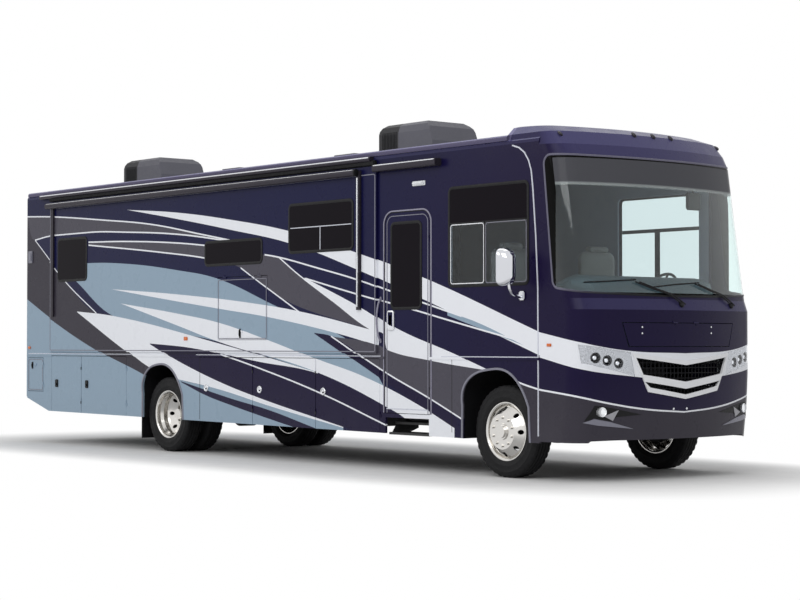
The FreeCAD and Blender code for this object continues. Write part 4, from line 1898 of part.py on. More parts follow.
def main():
    os.makedirs("parts", exist_ok=True)
    save("frame_rails", frame_rails())
    save("axles", [axle_beam(), rear_axle()])
    save("leaf_springs", leaf_springs())
    save("engine", [engine()])
    save("fuel_tank", [fuel_tank()])
    save("exhaust", [exhaust()])
    save("floor", [floor()])
    rear_edges = rear_bay_edges()
    storage = [mirrored(storage_group(rear_edges)), storage_group(rear_edges[1:])]
    storage += both_sides(storage_group(mid_bay_edges()))
    save("storage_boxes", storage)
    save("side_wall_left", [side_wall_left()])
    save("side_wall_right", side_wall_right())
    save("roof", [roof_solid(REAR_CAP_DEPTH, CAP_SEAM)])
    save("rear_cap", [rear_cap()])
    save("front_cap", [front_cap()])
    save("windshield", [windshield()])
    save("side_windows", side_windows())
    save("grille", [grille()])
    save("headlamps", headlamps())
    save("lamp_lenses", lamp_lenses())
    lamps, marker, cap_markers = marker_lamps()
    save("marker_lamps", lamps + cap_markers)
    save("mirrors", both_sides(mirror_left()))
    save("wipers", wipers())
    save("air_conditioners", air_conditioners())
    save("rear_ladder", [rear_ladder()])
    save("wheel_liners", liners_and_flaps())
    save("dashboard", [dashboard()])
    save("cab_seats", cab_seats())
    save("grab_handle", [grab_handle()])
    save("wall_rollers", wall_rollers())
    left_knuckle = knuckle()
    save("knuckle_left", [left_knuckle])
    save("knuckle_right", [mirrored(left_knuckle)])
    save("tie_rod", [tie_rod()])
    save("steering_wheel", [steering_wheel()])
    front_rim = front_wheel()
    rear_rims = rear_wheels()
    front_tyre = tyre(Vector(FRONT_AXLE, WHEEL_OUTSET, AXLE_HEIGHT))
    rear_tyres = [tyre(Vector(REAR_AXLE, WHEEL_OUTSET, AXLE_HEIGHT)),
                  tyre(Vector(REAR_AXLE, WHEEL_OUTSET - DUAL_SPACING, AXLE_HEIGHT))]
    save("front_wheel_left", [front_rim])
    save("front_wheel_right", [mirrored(front_rim)])
    save("rear_wheels_left", [rear_rims])
    save("rear_wheels_right", [mirrored(rear_rims)])
    save("front_tyre_left", [front_tyre])
    save("front_tyre_right", [mirrored(front_tyre)])
    save("rear_tyres_left", rear_tyres)
    save("rear_tyres_right", [mirrored(solid) for solid in rear_tyres])
    save("step_arms", [step_arms()])
    save("step_treads", [step_treads()])
    save("entry_door", [entry_door()])
    save("entry_door_window", [entry_door_window()])
    save("slide_room", slide_room() + [marker])
    save("slide_windows", slide_windows())
    save("slide_awning", [slide_awning()])
    save("screen_door", [screen_door()])
    save("front_hood", [front_hood()])
    save("rear_hatch", [rear_hatch()])
    for index, (start, end) in enumerate(all_bays()):
        door = bay_door(start, end)
        save("bay_door_right_%d" % (index + 1), [mirrored(door)])
        if index:
            save("bay_door_left_%d" % index, [door])


main()
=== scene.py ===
import json
import math
from functools import cached_property

import bmesh
import bpy
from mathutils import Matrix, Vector
from mathutils.bvhtree import BVHTree

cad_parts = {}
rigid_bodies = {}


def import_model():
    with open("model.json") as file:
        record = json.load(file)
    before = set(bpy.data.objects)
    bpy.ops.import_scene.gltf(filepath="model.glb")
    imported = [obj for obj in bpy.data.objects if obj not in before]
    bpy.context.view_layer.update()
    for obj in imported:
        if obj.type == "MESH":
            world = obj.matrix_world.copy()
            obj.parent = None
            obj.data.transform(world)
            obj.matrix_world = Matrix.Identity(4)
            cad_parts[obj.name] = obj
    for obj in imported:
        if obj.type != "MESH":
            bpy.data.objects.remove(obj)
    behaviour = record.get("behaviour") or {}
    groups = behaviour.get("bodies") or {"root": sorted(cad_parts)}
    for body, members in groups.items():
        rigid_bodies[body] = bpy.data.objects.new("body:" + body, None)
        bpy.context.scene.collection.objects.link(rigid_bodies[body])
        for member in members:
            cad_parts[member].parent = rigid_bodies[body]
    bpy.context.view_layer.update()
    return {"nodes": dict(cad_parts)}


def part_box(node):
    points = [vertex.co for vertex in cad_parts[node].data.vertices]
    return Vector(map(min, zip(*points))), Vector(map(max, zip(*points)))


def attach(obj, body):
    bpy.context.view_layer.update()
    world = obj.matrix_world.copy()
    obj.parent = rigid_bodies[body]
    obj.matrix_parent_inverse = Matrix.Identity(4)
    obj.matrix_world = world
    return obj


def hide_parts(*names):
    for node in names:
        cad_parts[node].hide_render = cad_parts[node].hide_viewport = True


for loose in list(bpy.data.objects):
    bpy.data.objects.remove(loose)
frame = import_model()
CAD_NODES = frame["nodes"]

# Places on the body, in metres
HALF_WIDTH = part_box("front_cap")[1].y
SEAM_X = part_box("roof")[1].x
REAR_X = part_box("rear_cap")[0].x
SLIDE_LOW, SLIDE_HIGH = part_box("slide_room")
SLIDE_FACE = 1.3088
NOSE_X = 5.6555
CAP_ARC_RADIUS = 3.76
CAP_ARC_CENTRE = NOSE_X - CAP_ARC_RADIUS
BELT = 1.216
SIDES = ((-1, "right"), (1, "left"))

# Camera, matched to the photograph
CAMERA_PLACE = (18.8205, -14.559, 1.351)
CAMERA_TURN = (91.303, 0.0, 50.487)
CAMERA_LENS = 87.396
SENSOR = 36.0
FAR_CLIP = 300.0

# Floor and light: each lamp's name, place, turn, size and power
FLOOR_SIZE = 90.0
FLOOR_DROP = 0.001
SHADOW_LENGTH = 7.4
SHADOW_WIDTH = 2.9
SHADOW_POWER = 4.0
SHADOW_FADE = (0.15, 1.3)
SKY_LEVEL = 0.55
LAMPS = (
    ("key_lamp", (10.0, -12.0, 9.0), (55.0, 0.0, 40.0), (9.0, 7.0), 520.0),
    ("side_lamp", (-6.0, -14.0, 8.0), (60.0, 0.0, -20.0), (10.0, 6.0), 330.0),
    ("top_lamp", (0.0, 0.0, 12.0), (0.0, 0.0, 0.0), (14.0, 6.0), 260.0),
)

# Colours
WHITE = (0.87, 0.89, 0.94, 1)
NAVY = (0.006, 0.007, 0.046, 1)
PURPLE = (0.009, 0.005, 0.034, 1)
CHARCOAL = (0.042, 0.038, 0.052, 1)
GREY = (0.078, 0.074, 0.095, 1)
LIGHT = (0.30, 0.40, 0.50, 1)
ROOF_GREY = (0.55, 0.55, 0.56, 1)
ROOF_EDGE = (0.10, 0.09, 0.16, 1)
INSIDE_GREY = (0.24, 0.28, 0.36, 1)
# Painted sky sheen: lighter, bluer colour added to the paint on faces that point upward
PAINTED_SKY_SHEEN = (0.060, 0.060, 0.130, 1)
GLASS_TINT = (0.90, 1.0, 0.99, 1)
GLASS_BAND = (0.022, 0.016, 0.030, 1)
GLASS_BORDER = (0.004, 0.004, 0.004, 1)
PRIVACY_TINT = (0.007, 0.005, 0.008, 1)
CAB_SIDE_TINT = (0.74, 0.81, 0.83, 1)
LENS_TINT = (0.97, 0.98, 1.0, 1)
MESH_BLACK = (0.008, 0.008, 0.01, 1)
CHROME = (0.86, 0.87, 0.90, 1)
STEP_GREY = (0.015, 0.015, 0.016, 1)
AMBER = (0.72, 0.16, 0.02, 1)
RED = (0.42, 0.008, 0.006, 1)
BROW_LENS = (0.016, 0.012, 0.022, 1)
COOLER_GREY = (0.10, 0.10, 0.12, 1)
# Painted shade for the roof units' vent openings
COOLER_VENT_SHADE = (0.016, 0.016, 0.019, 1)
# Painted highlight on the windshield moulding's sides and top
MOULDING_HIGHLIGHT_GREY = (0.15, 0.145, 0.20, 1)
MOULDING_BLACK = (0.008, 0.008, 0.010, 1)

# Painted bands along the body, rear to front: colour, upper edge and lower edge as (x, z)
BANDS = (
    (CHARCOAL, ((-5.56, 3.15), (-4.79, 3.10), (-3.44, 2.99), (-2.05, 2.85)),
     ((-5.56, 2.01), (-4.75, 1.68), (-3.56, 1.27), (-2.42, 0.96), (-2.05, 0.84))),
    (GREY, ((-5.50, 3.14), (-4.79, 3.10), (-3.44, 2.99), (-2.19, 2.87), (-1.03, 2.69), (-0.46, 2.61)),
     ((-5.50, 3.14), (-5.27, 2.80), (-4.76, 2.84), (-3.77, 2.84), (-2.80, 2.80), (-1.60, 2.72),
      (-0.46, 2.59))),
    (NAVY, ((-5.27, 2.80), (-4.76, 2.84), (-3.77, 2.84), (-2.80, 2.80), (-1.59, 2.72)),
     ((-5.27, 2.80), (-4.40, 2.21), (-3.56, 1.76), (-3.14, 1.72), (-1.59, 1.54))),
    (GREY, ((-3.77, 2.71), (-2.80, 2.67), (-1.59, 2.60), (0.26, 2.40), (0.54, 2.36), (0.96, 2.13),
            (2.27, 1.50)),
     ((-3.77, 2.67), (-1.89, 2.50), (-0.97, 2.40), (-0.23, 2.26), (0.57, 1.89), (2.27, 1.50))),
    (LIGHT, ((-4.10, 2.20), (-3.83, 2.43), (-2.80, 2.39), (-1.59, 2.27), (-0.75, 2.15), (0.57, 1.77),
             (1.26, 1.58), (2.0, 1.32), (2.49, 0.85)),
     ((-4.10, 2.20), (-3.14, 1.72), (-0.69, 1.38), (1.26, 1.03), (2.49, 0.83))),
    (WHITE, ((-2.80, 3.09), (-1.60, 2.99), (-0.48, 2.85), (0.77, 2.65), (1.96, 2.37), (3.10, 2.06),
             (4.89, 1.47)),
     ((-2.80, 3.09), (-1.60, 2.91), (-0.48, 2.73), (0.77, 2.51), (2.09, 2.15), (3.10, 1.83), (4.89, 1.24))),
    (WHITE, ((1.04, 2.11), (2.0, 1.78), (2.70, 1.51), (3.61, 1.25), (4.15, 1.085)),
     ((1.04, 2.08), (1.54, 1.84), (2.27, 1.50), (2.44, 1.46), (2.50, 1.29), (3.21, 1.18), (4.15, 1.08))),
    (WHITE, ((-3.18, 2.07), (-1.59, 1.97), (0.06, 1.83), (1.06, 1.71), (2.36, 1.49)),
     ((-3.18, 2.07), (-2.18, 1.95), (-0.69, 1.78), (0.31, 1.67), (1.54, 1.49), (2.36, 1.34))),
    (GREY, ((1.54, 1.44), (2.36, 1.34), (2.50, 1.29), (3.21, 1.18), (4.15, 1.08)),
     ((1.54, 1.44), (2.49, 1.04), (3.21, 0.78), (4.15, 0.42))),
    (PURPLE, ((1.23, 1.48), (1.54, 1.44), (2.49, 1.04), (3.21, 0.78), (3.65, 0.58)),
     ((1.23, 1.47), (2.08, 1.11), (3.02, 0.71), (3.65, 0.46))),
    (WHITE, ((-2.95, 1.88), (-1.59, 1.73), (-0.69, 1.61), (0.32, 1.40), (1.26, 1.18), (2.08, 1.0),
             (3.02, 0.71), (3.61, 0.48)),
     ((-2.95, 1.88), (-1.59, 1.58), (-0.69, 1.38), (1.26, 1.03), (2.47, 0.68), (2.84, 0.54), (3.61, 0.0))),
    (WHITE, ((-4.06, 1.79), (-3.14, 1.72), (-0.69, 1.36), (1.26, 1.03)),
     ((-4.06, 1.78), (-2.79, 1.25), (-2.18, 1.03), (-1.59, 0.97), (-0.69, 0.86), (1.26, 0.60))),
    (LIGHT, ((-2.18, 0.99), (-1.59, 0.91), (-0.69, 0.80), (0.32, 0.63), (1.73, 0.42)),
     ((-2.18, 0.0), (1.73, 0.0))),
    (LIGHT, ((-5.56, 2.01), (-4.75, 1.68), (-3.56, 1.27), (-2.42, 0.96), (-2.05, 0.84)),
     ((-5.56, 0.0), (-2.05, 0.0))),
    (PURPLE, ((-2.24, 1.36), (-1.36, 1.31), (-0.69, 1.24), (0.06, 1.15), (1.26, 1.02), (1.69, 0.91),
              (2.45, 0.68), (2.84, 0.54)),
     ((-2.24, 1.35), (-1.59, 1.13), (-0.69, 0.89), (0.06, 0.73), (1.73, 0.43), (2.84, 0.2))),
    (WHITE, ((-2.24, 1.33), (-1.59, 1.13), (-0.69, 0.89), (0.06, 0.73), (1.73, 0.43)),
     ((-2.24, 0.98), (-1.59, 0.91), (-0.69, 0.80), (0.32, 0.63), (1.73, 0.42))),
    (PURPLE, ((-1.56, 0.89), (-0.47, 0.70), (0.32, 0.58), (1.21, 0.40)),
     ((-1.56, 0.88), (-1.02, 0.73), (-0.47, 0.62), (0.37, 0.47), (1.21, 0.33))),
    (CHARCOAL, ((4.45, 1.01), (4.62, 0.96), (4.89, 0.90)), ((4.45, 0.0), (4.89, 0.0))),
    (LIGHT, ((3.50, 1.69), (3.98, 1.57), (4.66, 1.34)), ((3.50, 1.65), (3.98, 1.52), (4.66, 1.34))),
)

# Thin white lines on the paint
PINSTRIPES = (
    ((-5.56, 3.14), (-4.79, 3.10), (-3.44, 2.99), (-2.19, 2.87), (-1.03, 2.69), (-0.46, 2.60)),
    ((-5.27, 2.80), (-4.76, 2.84), (-3.77, 2.84), (-2.80, 2.80), (-1.60, 2.72), (-0.46, 2.59)),
    ((-5.27, 2.80), (-4.40, 2.21), (-3.56, 1.76)),
    ((-3.77, 2.71), (-2.80, 2.68), (-1.59, 2.61), (-0.60, 2.52)),
    ((-3.77, 2.67), (-1.89, 2.50), (-0.97, 2.40), (-0.60, 2.34)),
    ((-0.23, 2.26), (0.11, 2.10), (0.57, 1.89), (0.96, 1.71)),
    ((0.26, 2.40), (0.54, 2.36), (1.30, 2.21), (2.02, 2.06), (2.58, 1.92), (3.72, 1.64)),
    ((0.54, 2.36), (0.96, 2.13), (1.54, 1.86), (2.27, 1.50)),
    ((1.06, 2.10), (2.02, 1.90), (2.89, 1.73), (3.72, 1.56), (4.62, 1.38)),
    ((-0.69, 1.23), (0.06, 1.08), (1.30, 0.80), (2.50, 0.47)),
    ((1.54, 1.44), (2.49, 1.04), (3.21, 0.78), (3.72, 0.58)),
    ((4.45, 1.01), (4.62, 0.96), (4.89, 0.90)),
)
PINSTRIPE_HALF = 0.009

# Bands on the front cap, by distance round from the middle: colour, upper edge and lower edge
CAP_REACH = 2.05
FRONT_BANDS = (
    (WHITE, ((0.0, 1.26), (0.81, 1.286), (1.52, 1.375), (CAP_REACH, 1.469)),
     ((0.0, 0.98), (0.70, 1.03), (1.52, 1.115), (CAP_REACH, 1.22))),
    (WHITE, ((0.0, 0.68), (0.59, 0.72), (1.07, 0.78), (1.52, 0.85), (CAP_REACH, 0.91)),
     ((0.0, 0.64), (CAP_REACH, 0.70))),
    (CHARCOAL, ((0.0, 0.665), (0.59, 0.703), (1.07, 0.762), (1.52, 0.832), (CAP_REACH, 0.892)),
     ((0.0, 0.0), (CAP_REACH, 0.0))),
)
CURVE_SCALE = 4.0

# Where the paint changes, in metres
TONE_SPAN = (1.5, 4.9)
CAP_PAINT_START = 4.889
ROOF_EDGE_FOOT = 3.40
ROOF_EDGE_END = 4.45
ROOF_SKIN_FOOT = 3.47
ROOF_SKIN_END = 4.3
ROOF_SKIN_HALF = 1.1
BORDER_SIDE = 0.012
BORDER_AHEAD = 0.23
BORDER_TOP = 0.035
BORDER_FOOT = 0.03
BAND_DROPS = (0.31, 0.27)
CAB_GLASS_START = 3.4
SIDE_BAND_FOOT = 2.6
CHROME_DEPTH = -0.014
BROW_FOOT = 3.3
REAR_LAMP_REACH = 0.1
COOLER_REAR_END = -4.10
SECOND_VENT = (1.38, 0.18)
FOOT_SPAN = (1.84, 1.90)
STEP_PITCH = 0.012
LENS_RIBS = 700.0
INNER_WALL = HALF_WIDTH - 0.0295
# Normal heights over which the painted sky sheen fades in
PAINTED_SHEEN_FACING = (0.12, 0.65)
DUST_SPAN = (0.4, 1.0)

# Dark finishes and their specular level, and the levels of noise that gloss follows
DARK = 0.09
DULL = 0.16
NOISE_SPAN = (0.3, 0.7)


# Materials

class Graph:
    """The nodes of one material or world, added in the order in which they are worked out."""

    def __init__(self, name, group=bpy.data.materials):
        self.owner = group.new(name)
        self.owner.use_nodes = True
        self.tree = self.owner.node_tree
        self.tree.nodes.clear()

    @cached_property
    def place(self):
        return self.node("TexCoord").outputs["Object"]

    def node(self, kind, inputs=None, **settings):
        made = self.tree.nodes.new("ShaderNode" + kind)
        for name, value in settings.items():
            setattr(made, name, value)
        for key, value in (inputs or {}).items():
            self.feed(made.inputs[key], value)
        return made

    def feed(self, socket, value):
        if isinstance(value, bpy.types.NodeSocket):
            self.tree.links.new(value, socket)
        else:
            socket.default_value = value

    def calc(self, operation, *values):
        return self.node("Math", dict(enumerate(values)), operation=operation).outputs[0]

    def over(self, value, limit):
        return self.calc("GREATER_THAN", value, limit)

    def under(self, value, limit):
        return self.calc("LESS_THAN", value, limit)

    def times(self, first, *others):
        for other in others:
            first = self.calc("MULTIPLY", first, other)
        return first

    def either(self, first, *others):
        for other in others:
            first = self.calc("MAXIMUM", first, other)
        return first

    def mix(self, share, first, second, **settings):
        return self.node("Mix", {0: share, 6: first, 7: second}, data_type="RGBA", **settings).outputs[2]

    def remap(self, value, span, to_low=0.0, to_high=1.0):
        low, high = span
        return self.node("MapRange", {0: value, 1: low, 2: high, 3: to_low, 4: to_high}).outputs[0]

    def noise(self, scale, detail=3.0):
        return self.node("TexNoise", {"Vector": self.place, "Scale": scale, "Detail": detail}).outputs[0]

    def gloss(self, scale, low, high, detail=3.0):
        return self.remap(self.noise(scale, detail), NOISE_SPAN, low, high)

    def axes(self):
        return self.node("SeparateXYZ", {0: self.place}).outputs

    def ribs(self, value, turns):
        return self.calc("SINE", self.times(value, turns))

    def relief(self, height, depth):
        return self.node("Bump", {"Strength": 1.0, "Distance": depth, "Height": height}).outputs[0]

    def grain(self, scale, depth, detail=3.0):
        return self.relief(self.noise(scale, detail), depth)

    def seen(self):
        """1 for rays from the camera, through glass or from a reflection."""
        rays = self.node("LightPath").outputs
        return self.either(rays["Is Camera Ray"], rays["Is Transmission Ray"], rays["Is Glossy Ray"])

    def finish(self, colour, roughness, normal=None, **constants):
        inputs = {"Base Color": colour, "Roughness": roughness}
        if normal is not None:
            inputs["Normal"] = normal
        for name, value in constants.items():
            inputs[name.replace("_", " ").title().replace("Ior", "IOR")] = value
        self.node("OutputMaterial", {"Surface": self.node("BsdfPrincipled", inputs).outputs[0]})
        return self.owner


def graded(graph, colour, spread):
    """A colour that drifts a little darker and lighter over the surface."""
    drift = graph.noise(1.7, 2.0)
    dark = tuple(part * (1 - spread) for part in colour[:3]) + (1,)
    light = tuple(min(1, part * (1 + spread)) for part in colour[:3]) + (1,)
    return graph.mix(drift, dark, light)


def surface(name, colour, roughness, grain, depth, metallic=0.0, spread=0.12, rough_spread=0.08, coat=0.0):
    """A plain finish with grain, uneven gloss and slight colour drift; dark ones are dull."""
    constants = {"metallic": metallic, "coat_weight": coat}
    if max(colour) < DARK:
        constants["specular_ior_level"] = DULL
    graph = Graph(name)
    base = graded(graph, colour, spread)
    gloss = graph.gloss(grain * 0.2, roughness - rough_spread, roughness + rough_spread)
    return graph.finish(base, gloss, graph.grain(grain, depth), **constants)


def share_along(graph, along, points):
    """Share of the way from a line's first point to its last, and 1 where the line runs."""
    share = graph.node("MapRange", {0: along, 1: points[0][0], 2: points[-1][0]}, clamp=False).outputs[0]
    return share, graph.calc("COMPARE", share, 0.5, 0.5)


def curve(graph, share, points):
    """Height along a smooth edge, where share runs from 0 at its first point to 1 at its last."""
    made = graph.node("FloatCurve", {"Value": share})
    line = made.mapping.curves[0]
    start, end = points[0][0], points[-1][0]
    spots = [((x - start) / (end - start), z / CURVE_SCALE) for x, z in points]
    while len(line.points) < len(spots):
        line.points.new(0.5, 0.5)
    for point, spot in zip(line.points, spots):
        point.location = spot
        point.handle_type = "AUTO_CLAMPED"
    made.mapping.update()
    return graph.times(made.outputs[0], CURVE_SCALE)


def between(graph, along, height, upper, lower):
    """1 between two edges that share their ends, and 0 elsewhere."""
    share, inside = share_along(graph, along, upper)
    below = graph.under(height, curve(graph, share, upper))
    above = graph.over(height, curve(graph, share, lower))
    return graph.times(below, above, inside)


def along_line(graph, along, height, points, half):
    share, inside = share_along(graph, along, points)
    return graph.times(graph.calc("COMPARE", height, curve(graph, share, points), half), inside)


def body_paint():
    """The coach's paint: bands that sweep along the sides and round the nose, over navy."""
    graph = Graph("body_paint")
    x, y, z = graph.axes()
    side = graph.calc("ABSOLUTE", y)
    on_cap = graph.over(x, CAP_PAINT_START)
    colour = graph.mix(graph.remap(x, TONE_SPAN), NAVY, PURPLE)
    for shade, upper, lower in BANDS:
        colour = graph.mix(between(graph, x, z, upper, lower), colour, shade)
    for points in PINSTRIPES:
        colour = graph.mix(along_line(graph, x, z, points, PINSTRIPE_HALF), colour, WHITE)
    round_nose = graph.calc("ADD", side, graph.calc("SUBTRACT", NOSE_X, x))
    for shade, upper, lower in FRONT_BANDS:
        mask = graph.times(between(graph, round_nose, z, upper, lower), on_cap)
        colour = graph.mix(mask, colour, shade)
    edge = graph.times(graph.over(z, ROOF_EDGE_FOOT), graph.under(x, ROOF_EDGE_END),
                       graph.over(side, ROOF_SKIN_HALF))
    colour = graph.mix(edge, colour, ROOF_EDGE)
    top = graph.times(graph.over(z, ROOF_SKIN_FOOT), graph.under(side, ROOF_SKIN_HALF),
                      graph.under(x, ROOF_SKIN_END))
    colour = graph.mix(top, colour, ROOF_GREY)
    inside = graph.times(graph.under(side, INNER_WALL), graph.under(x, SEAM_X - 0.01),
                         graph.under(z, ROOF_EDGE_FOOT), graph.over(x, REAR_X + 0.02))
    colour = graph.mix(inside, colour, INSIDE_GREY)
    # Painted sheen: faces that point upward are painted lighter and bluer, as if lit by the sky
    facing = graph.node("SeparateXYZ", {0: graph.node("NewGeometry").outputs["Normal"]}).outputs[2]
    colour = graph.mix(graph.remap(facing, PAINTED_SHEEN_FACING), colour, PAINTED_SKY_SHEEN, blend_type="ADD", clamp_result=True)
    dust = graph.times(graph.noise(3.0, 4.0), graph.remap(z, DUST_SPAN, 0.03, 0.0))
    colour = graph.mix(dust, colour, ROOF_GREY)
    waves = graph.calc("ADD", graph.noise(2.2, 1.0), graph.times(graph.noise(260.0), 0.02))
    return graph.finish(colour, graph.gloss(6.0, 0.24, 0.36, 4.0), graph.relief(waves, 0.003),
                        coat_weight=0.03, coat_roughness=0.08, specular_ior_level=0.09)


def cab_glass():
    """Clear cab glass with a black border and a shaded band near its head."""
    graph = Graph("clear_glass")
    x, y, z = graph.axes()
    low, high = (corner.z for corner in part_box("windshield"))
    side_edge = graph.over(graph.calc("ABSOLUTE", y), HALF_WIDTH - BORDER_SIDE)
    side_edge = graph.times(side_edge, graph.under(x, SEAM_X + BORDER_AHEAD))
    border = graph.either(side_edge, graph.over(z, high - BORDER_TOP), graph.under(z, low + BORDER_FOOT))
    shade = graph.remap(z, [high - drop for drop in BAND_DROPS], 0.0, 0.93)
    colour = graph.mix(border, graph.mix(shade, GLASS_TINT, GLASS_BAND), GLASS_BORDER)
    clear = graph.calc("SUBTRACT", 1.0, graph.either(border, shade))
    return graph.finish(colour, graph.gloss(4.0, 0.0, 0.02), transmission_weight=clear, ior=1.38,
                        specular_ior_level=graph.remap(clear, (0.0, 1.0), 0.06, 0.5))


def side_glass():
    """Privacy glass behind the door and lightly tinted glass in the cab."""
    graph = Graph("dark_glass")
    x, y, z = graph.axes()
    low_or_far = graph.either(graph.under(z, SIDE_BAND_FOOT), graph.over(y, 0.0))
    clear = graph.times(graph.over(x, CAB_GLASS_START), low_or_far)
    colour = graph.mix(clear, PRIVACY_TINT, CAB_SIDE_TINT)
    return graph.finish(colour, graph.gloss(5.0, 0.02, 0.06), graph.grain(1.5, 0.002, 0.0),
                        transmission_weight=clear, ior=1.3, specular_ior_level=0.1)


def clear_lens():
    graph = Graph("lamp_lens")
    return graph.finish(LENS_TINT, graph.gloss(30.0, 0.02, 0.06), graph.grain(12.0, 0.0006),
                        transmission_weight=1.0, ior=1.2)


def grille_finish():
    """Bright rim and cross bar in front of a sunk black mesh."""
    graph = Graph("grille_chrome")
    x, y, z = graph.axes()
    ahead = graph.calc("POWER", graph.calc("SUBTRACT", x, CAP_ARC_CENTRE), 2.0)
    reach = graph.calc("SQRT", graph.calc("ADD", ahead, graph.calc("POWER", y, 2.0)))
    front = graph.over(graph.calc("SUBTRACT", reach, CAP_ARC_RADIUS), CHROME_DEPTH)
    gloss = graph.either(graph.gloss(18.0, 0.16, 0.30), graph.calc("SUBTRACT", 0.8, front))
    return graph.finish(graph.mix(front, MESH_BLACK, CHROME), gloss, graph.grain(120.0, 0.0002),
                        specular_ior_level=0.15)


def step_finish():
    """Black plastic with fine ribs across the treads."""
    graph = Graph("step_black")
    ribs = graph.times(graph.ribs(graph.axes()[0], 2 * math.pi / STEP_PITCH), 0.5)
    height = graph.calc("ADD", ribs, graph.times(graph.noise(150.0), 0.4))
    return graph.finish(graded(graph, STEP_GREY, 0.15), graph.gloss(20.0, 0.47, 0.63),
                        graph.relief(height, 0.0012))


def marker_finish():
    """Amber markers forward and on the sides, red lamps on the rear wall, dark ones on the brow."""
    graph = Graph("amber_lens")
    x, y, z = graph.axes()
    brow = graph.over(z, BROW_FOOT)
    low = graph.mix(graph.under(x, REAR_X + REAR_LAMP_REACH), AMBER, RED)
    colour = graph.mix(brow, low, BROW_LENS)
    return graph.finish(colour, graph.gloss(40.0, 0.14, 0.3), graph.relief(graph.ribs(z, LENS_RIBS), 0.0006),
                        coat_weight=graph.remap(brow, (0.0, 1.0), 0.6, 0.0), specular_ior_level=0.25)


def cooler_finish():
    """Rear halves painted dark for the shade inside their vent openings, and smooth grey fronts, for both
    roof units.
    """
    graph = Graph("cooler_shroud")
    along = graph.axes()[0]
    vent_shade = graph.either(graph.under(along, COOLER_REAR_END), graph.calc("COMPARE", along, *SECOND_VENT))
    colour = graph.mix(vent_shade, graded(graph, COOLER_GREY, 0.12), COOLER_VENT_SHADE)
    return graph.finish(colour, graph.gloss(30.0, 0.42, 0.58), graph.grain(160.0, 0.0005),
                        specular_ior_level=0.3)


def moulding_finish():
    """Black rubber, painted lighter grey above the foot of the windshield for the highlight along its sides
    and top.
    """
    graph = Graph("pane_moulding")
    colour = graph.mix(graph.remap(graph.axes()[2], FOOT_SPAN), MOULDING_BLACK, MOULDING_HIGHLIGHT_GREY)
    return graph.finish(colour, graph.gloss(40.0, 0.35, 0.5), graph.grain(120.0, 0.0002),
                        specular_ior_level=DULL)


# Plain finishes: colour, roughness, grain, depth, metal share, colour spread, gloss spread and coat
SURFACES = {
    "chassis_black": ((0.012, 0.012, 0.013), 0.55, 70.0, 0.0008),
    "spring_steel": ((0.03, 0.028, 0.027), 0.6, 50.0, 0.001, 0.4),
    "cast_block": ((0.045, 0.045, 0.048), 0.6, 110.0, 0.0015, 0.5),
    "tank_steel": ((0.025, 0.025, 0.027), 0.5, 40.0, 0.0008, 0.3),
    "exhaust_steel": ((0.22, 0.19, 0.16), 0.45, 60.0, 0.0006, 0.9),
    "floor_panel": ((0.03, 0.03, 0.032), 0.7, 40.0, 0.0012),
    "liner_grey": ((0.06, 0.06, 0.065), 0.75, 60.0, 0.0012),
    "lamp_reflector": ((0.52, 0.53, 0.55), 0.28, 40.0, 0.0002, 0.7),
    "mirror_chrome": ((0.66, 0.67, 0.71), 0.10, 30.0, 0.0001, 1.0, 0.03, 0.04),
    "matte_black": ((0.006, 0.006, 0.007), 0.6, 130.0, 0.0006),
    "aluminium_tube": ((0.62, 0.63, 0.65), 0.3, 80.0, 0.0002, 0.9),
    "dash_plastic": ((0.055, 0.090, 0.115), 0.6, 220.0, 0.0005),
    "seat_leather": ((0.16, 0.165, 0.17), 0.5, 150.0, 0.0012),
    "awning_black": ((0.030, 0.026, 0.036), 0.36, 120.0, 0.0004, 0.3),
    "wheel_leather": ((0.02, 0.02, 0.022), 0.5, 200.0, 0.0006),
    "wheel_polish": ((0.67, 0.655, 0.63), 0.18, 45.0, 0.0003, 1.0, 0.06, 0.08),
    "tyre_rubber": ((0.012, 0.012, 0.013), 0.62, 180.0, 0.0008),
    "bright_trim": ((0.72, 0.73, 0.76), 0.25, 60.0, 0.0002, 0.85),
    "white_trim": ((0.66, 0.68, 0.76), 0.3, 90.0, 0.0002),
    "black_trim": ((0.008, 0.008, 0.009), 0.45, 140.0, 0.0004),
    "seal_rubber": ((0.01, 0.01, 0.011), 0.7, 160.0, 0.0006),
    "mirror_face": ((0.55, 0.58, 0.62), 0.03, 5.0, 0.00005, 1.0, 0.02, 0.02),
    "door_trim": ((0.26, 0.25, 0.33), 0.35, 90.0, 0.0002),
    "lip_trim": ((0.20, 0.20, 0.25), 0.35, 90.0, 0.0002),
    "lamp_facet": ((0.34, 0.34, 0.37), 0.34, 90.0, 0.0003),
    "white_lens": ((0.86, 0.88, 0.92), 0.2, 60.0, 0.0002, 0.0, 0.12, 0.08, 0.4),
    "lamp_dark": ((0.05, 0.05, 0.055), 0.25, 60.0, 0.0002, 0.6),
    "lamp_bulb": ((0.85, 0.87, 0.9), 0.08, 60.0, 0.0003, 0.9),
}
FINISHES = {name: surface(name, *row) for name, row in SURFACES.items()}
FINISHES.update({
    "body_paint": body_paint(),
    "roof_skin": body_paint(),
    "clear_glass": cab_glass(),
    "dark_glass": side_glass(),
    "grille_chrome": grille_finish(),
    "lamp_lens": clear_lens(),
    "amber_lens": marker_finish(),
    "cooler_shroud": cooler_finish(),
    "step_black": step_finish(),
    "pane_moulding": moulding_finish(),
})

for node in CAD_NODES.values():
    own = node.data.materials
    own[0] = FINISHES[own[0].name.split(".")[0]]


# Mesh helpers

SHARP_ANGLE = 35
WELD = 0.00002


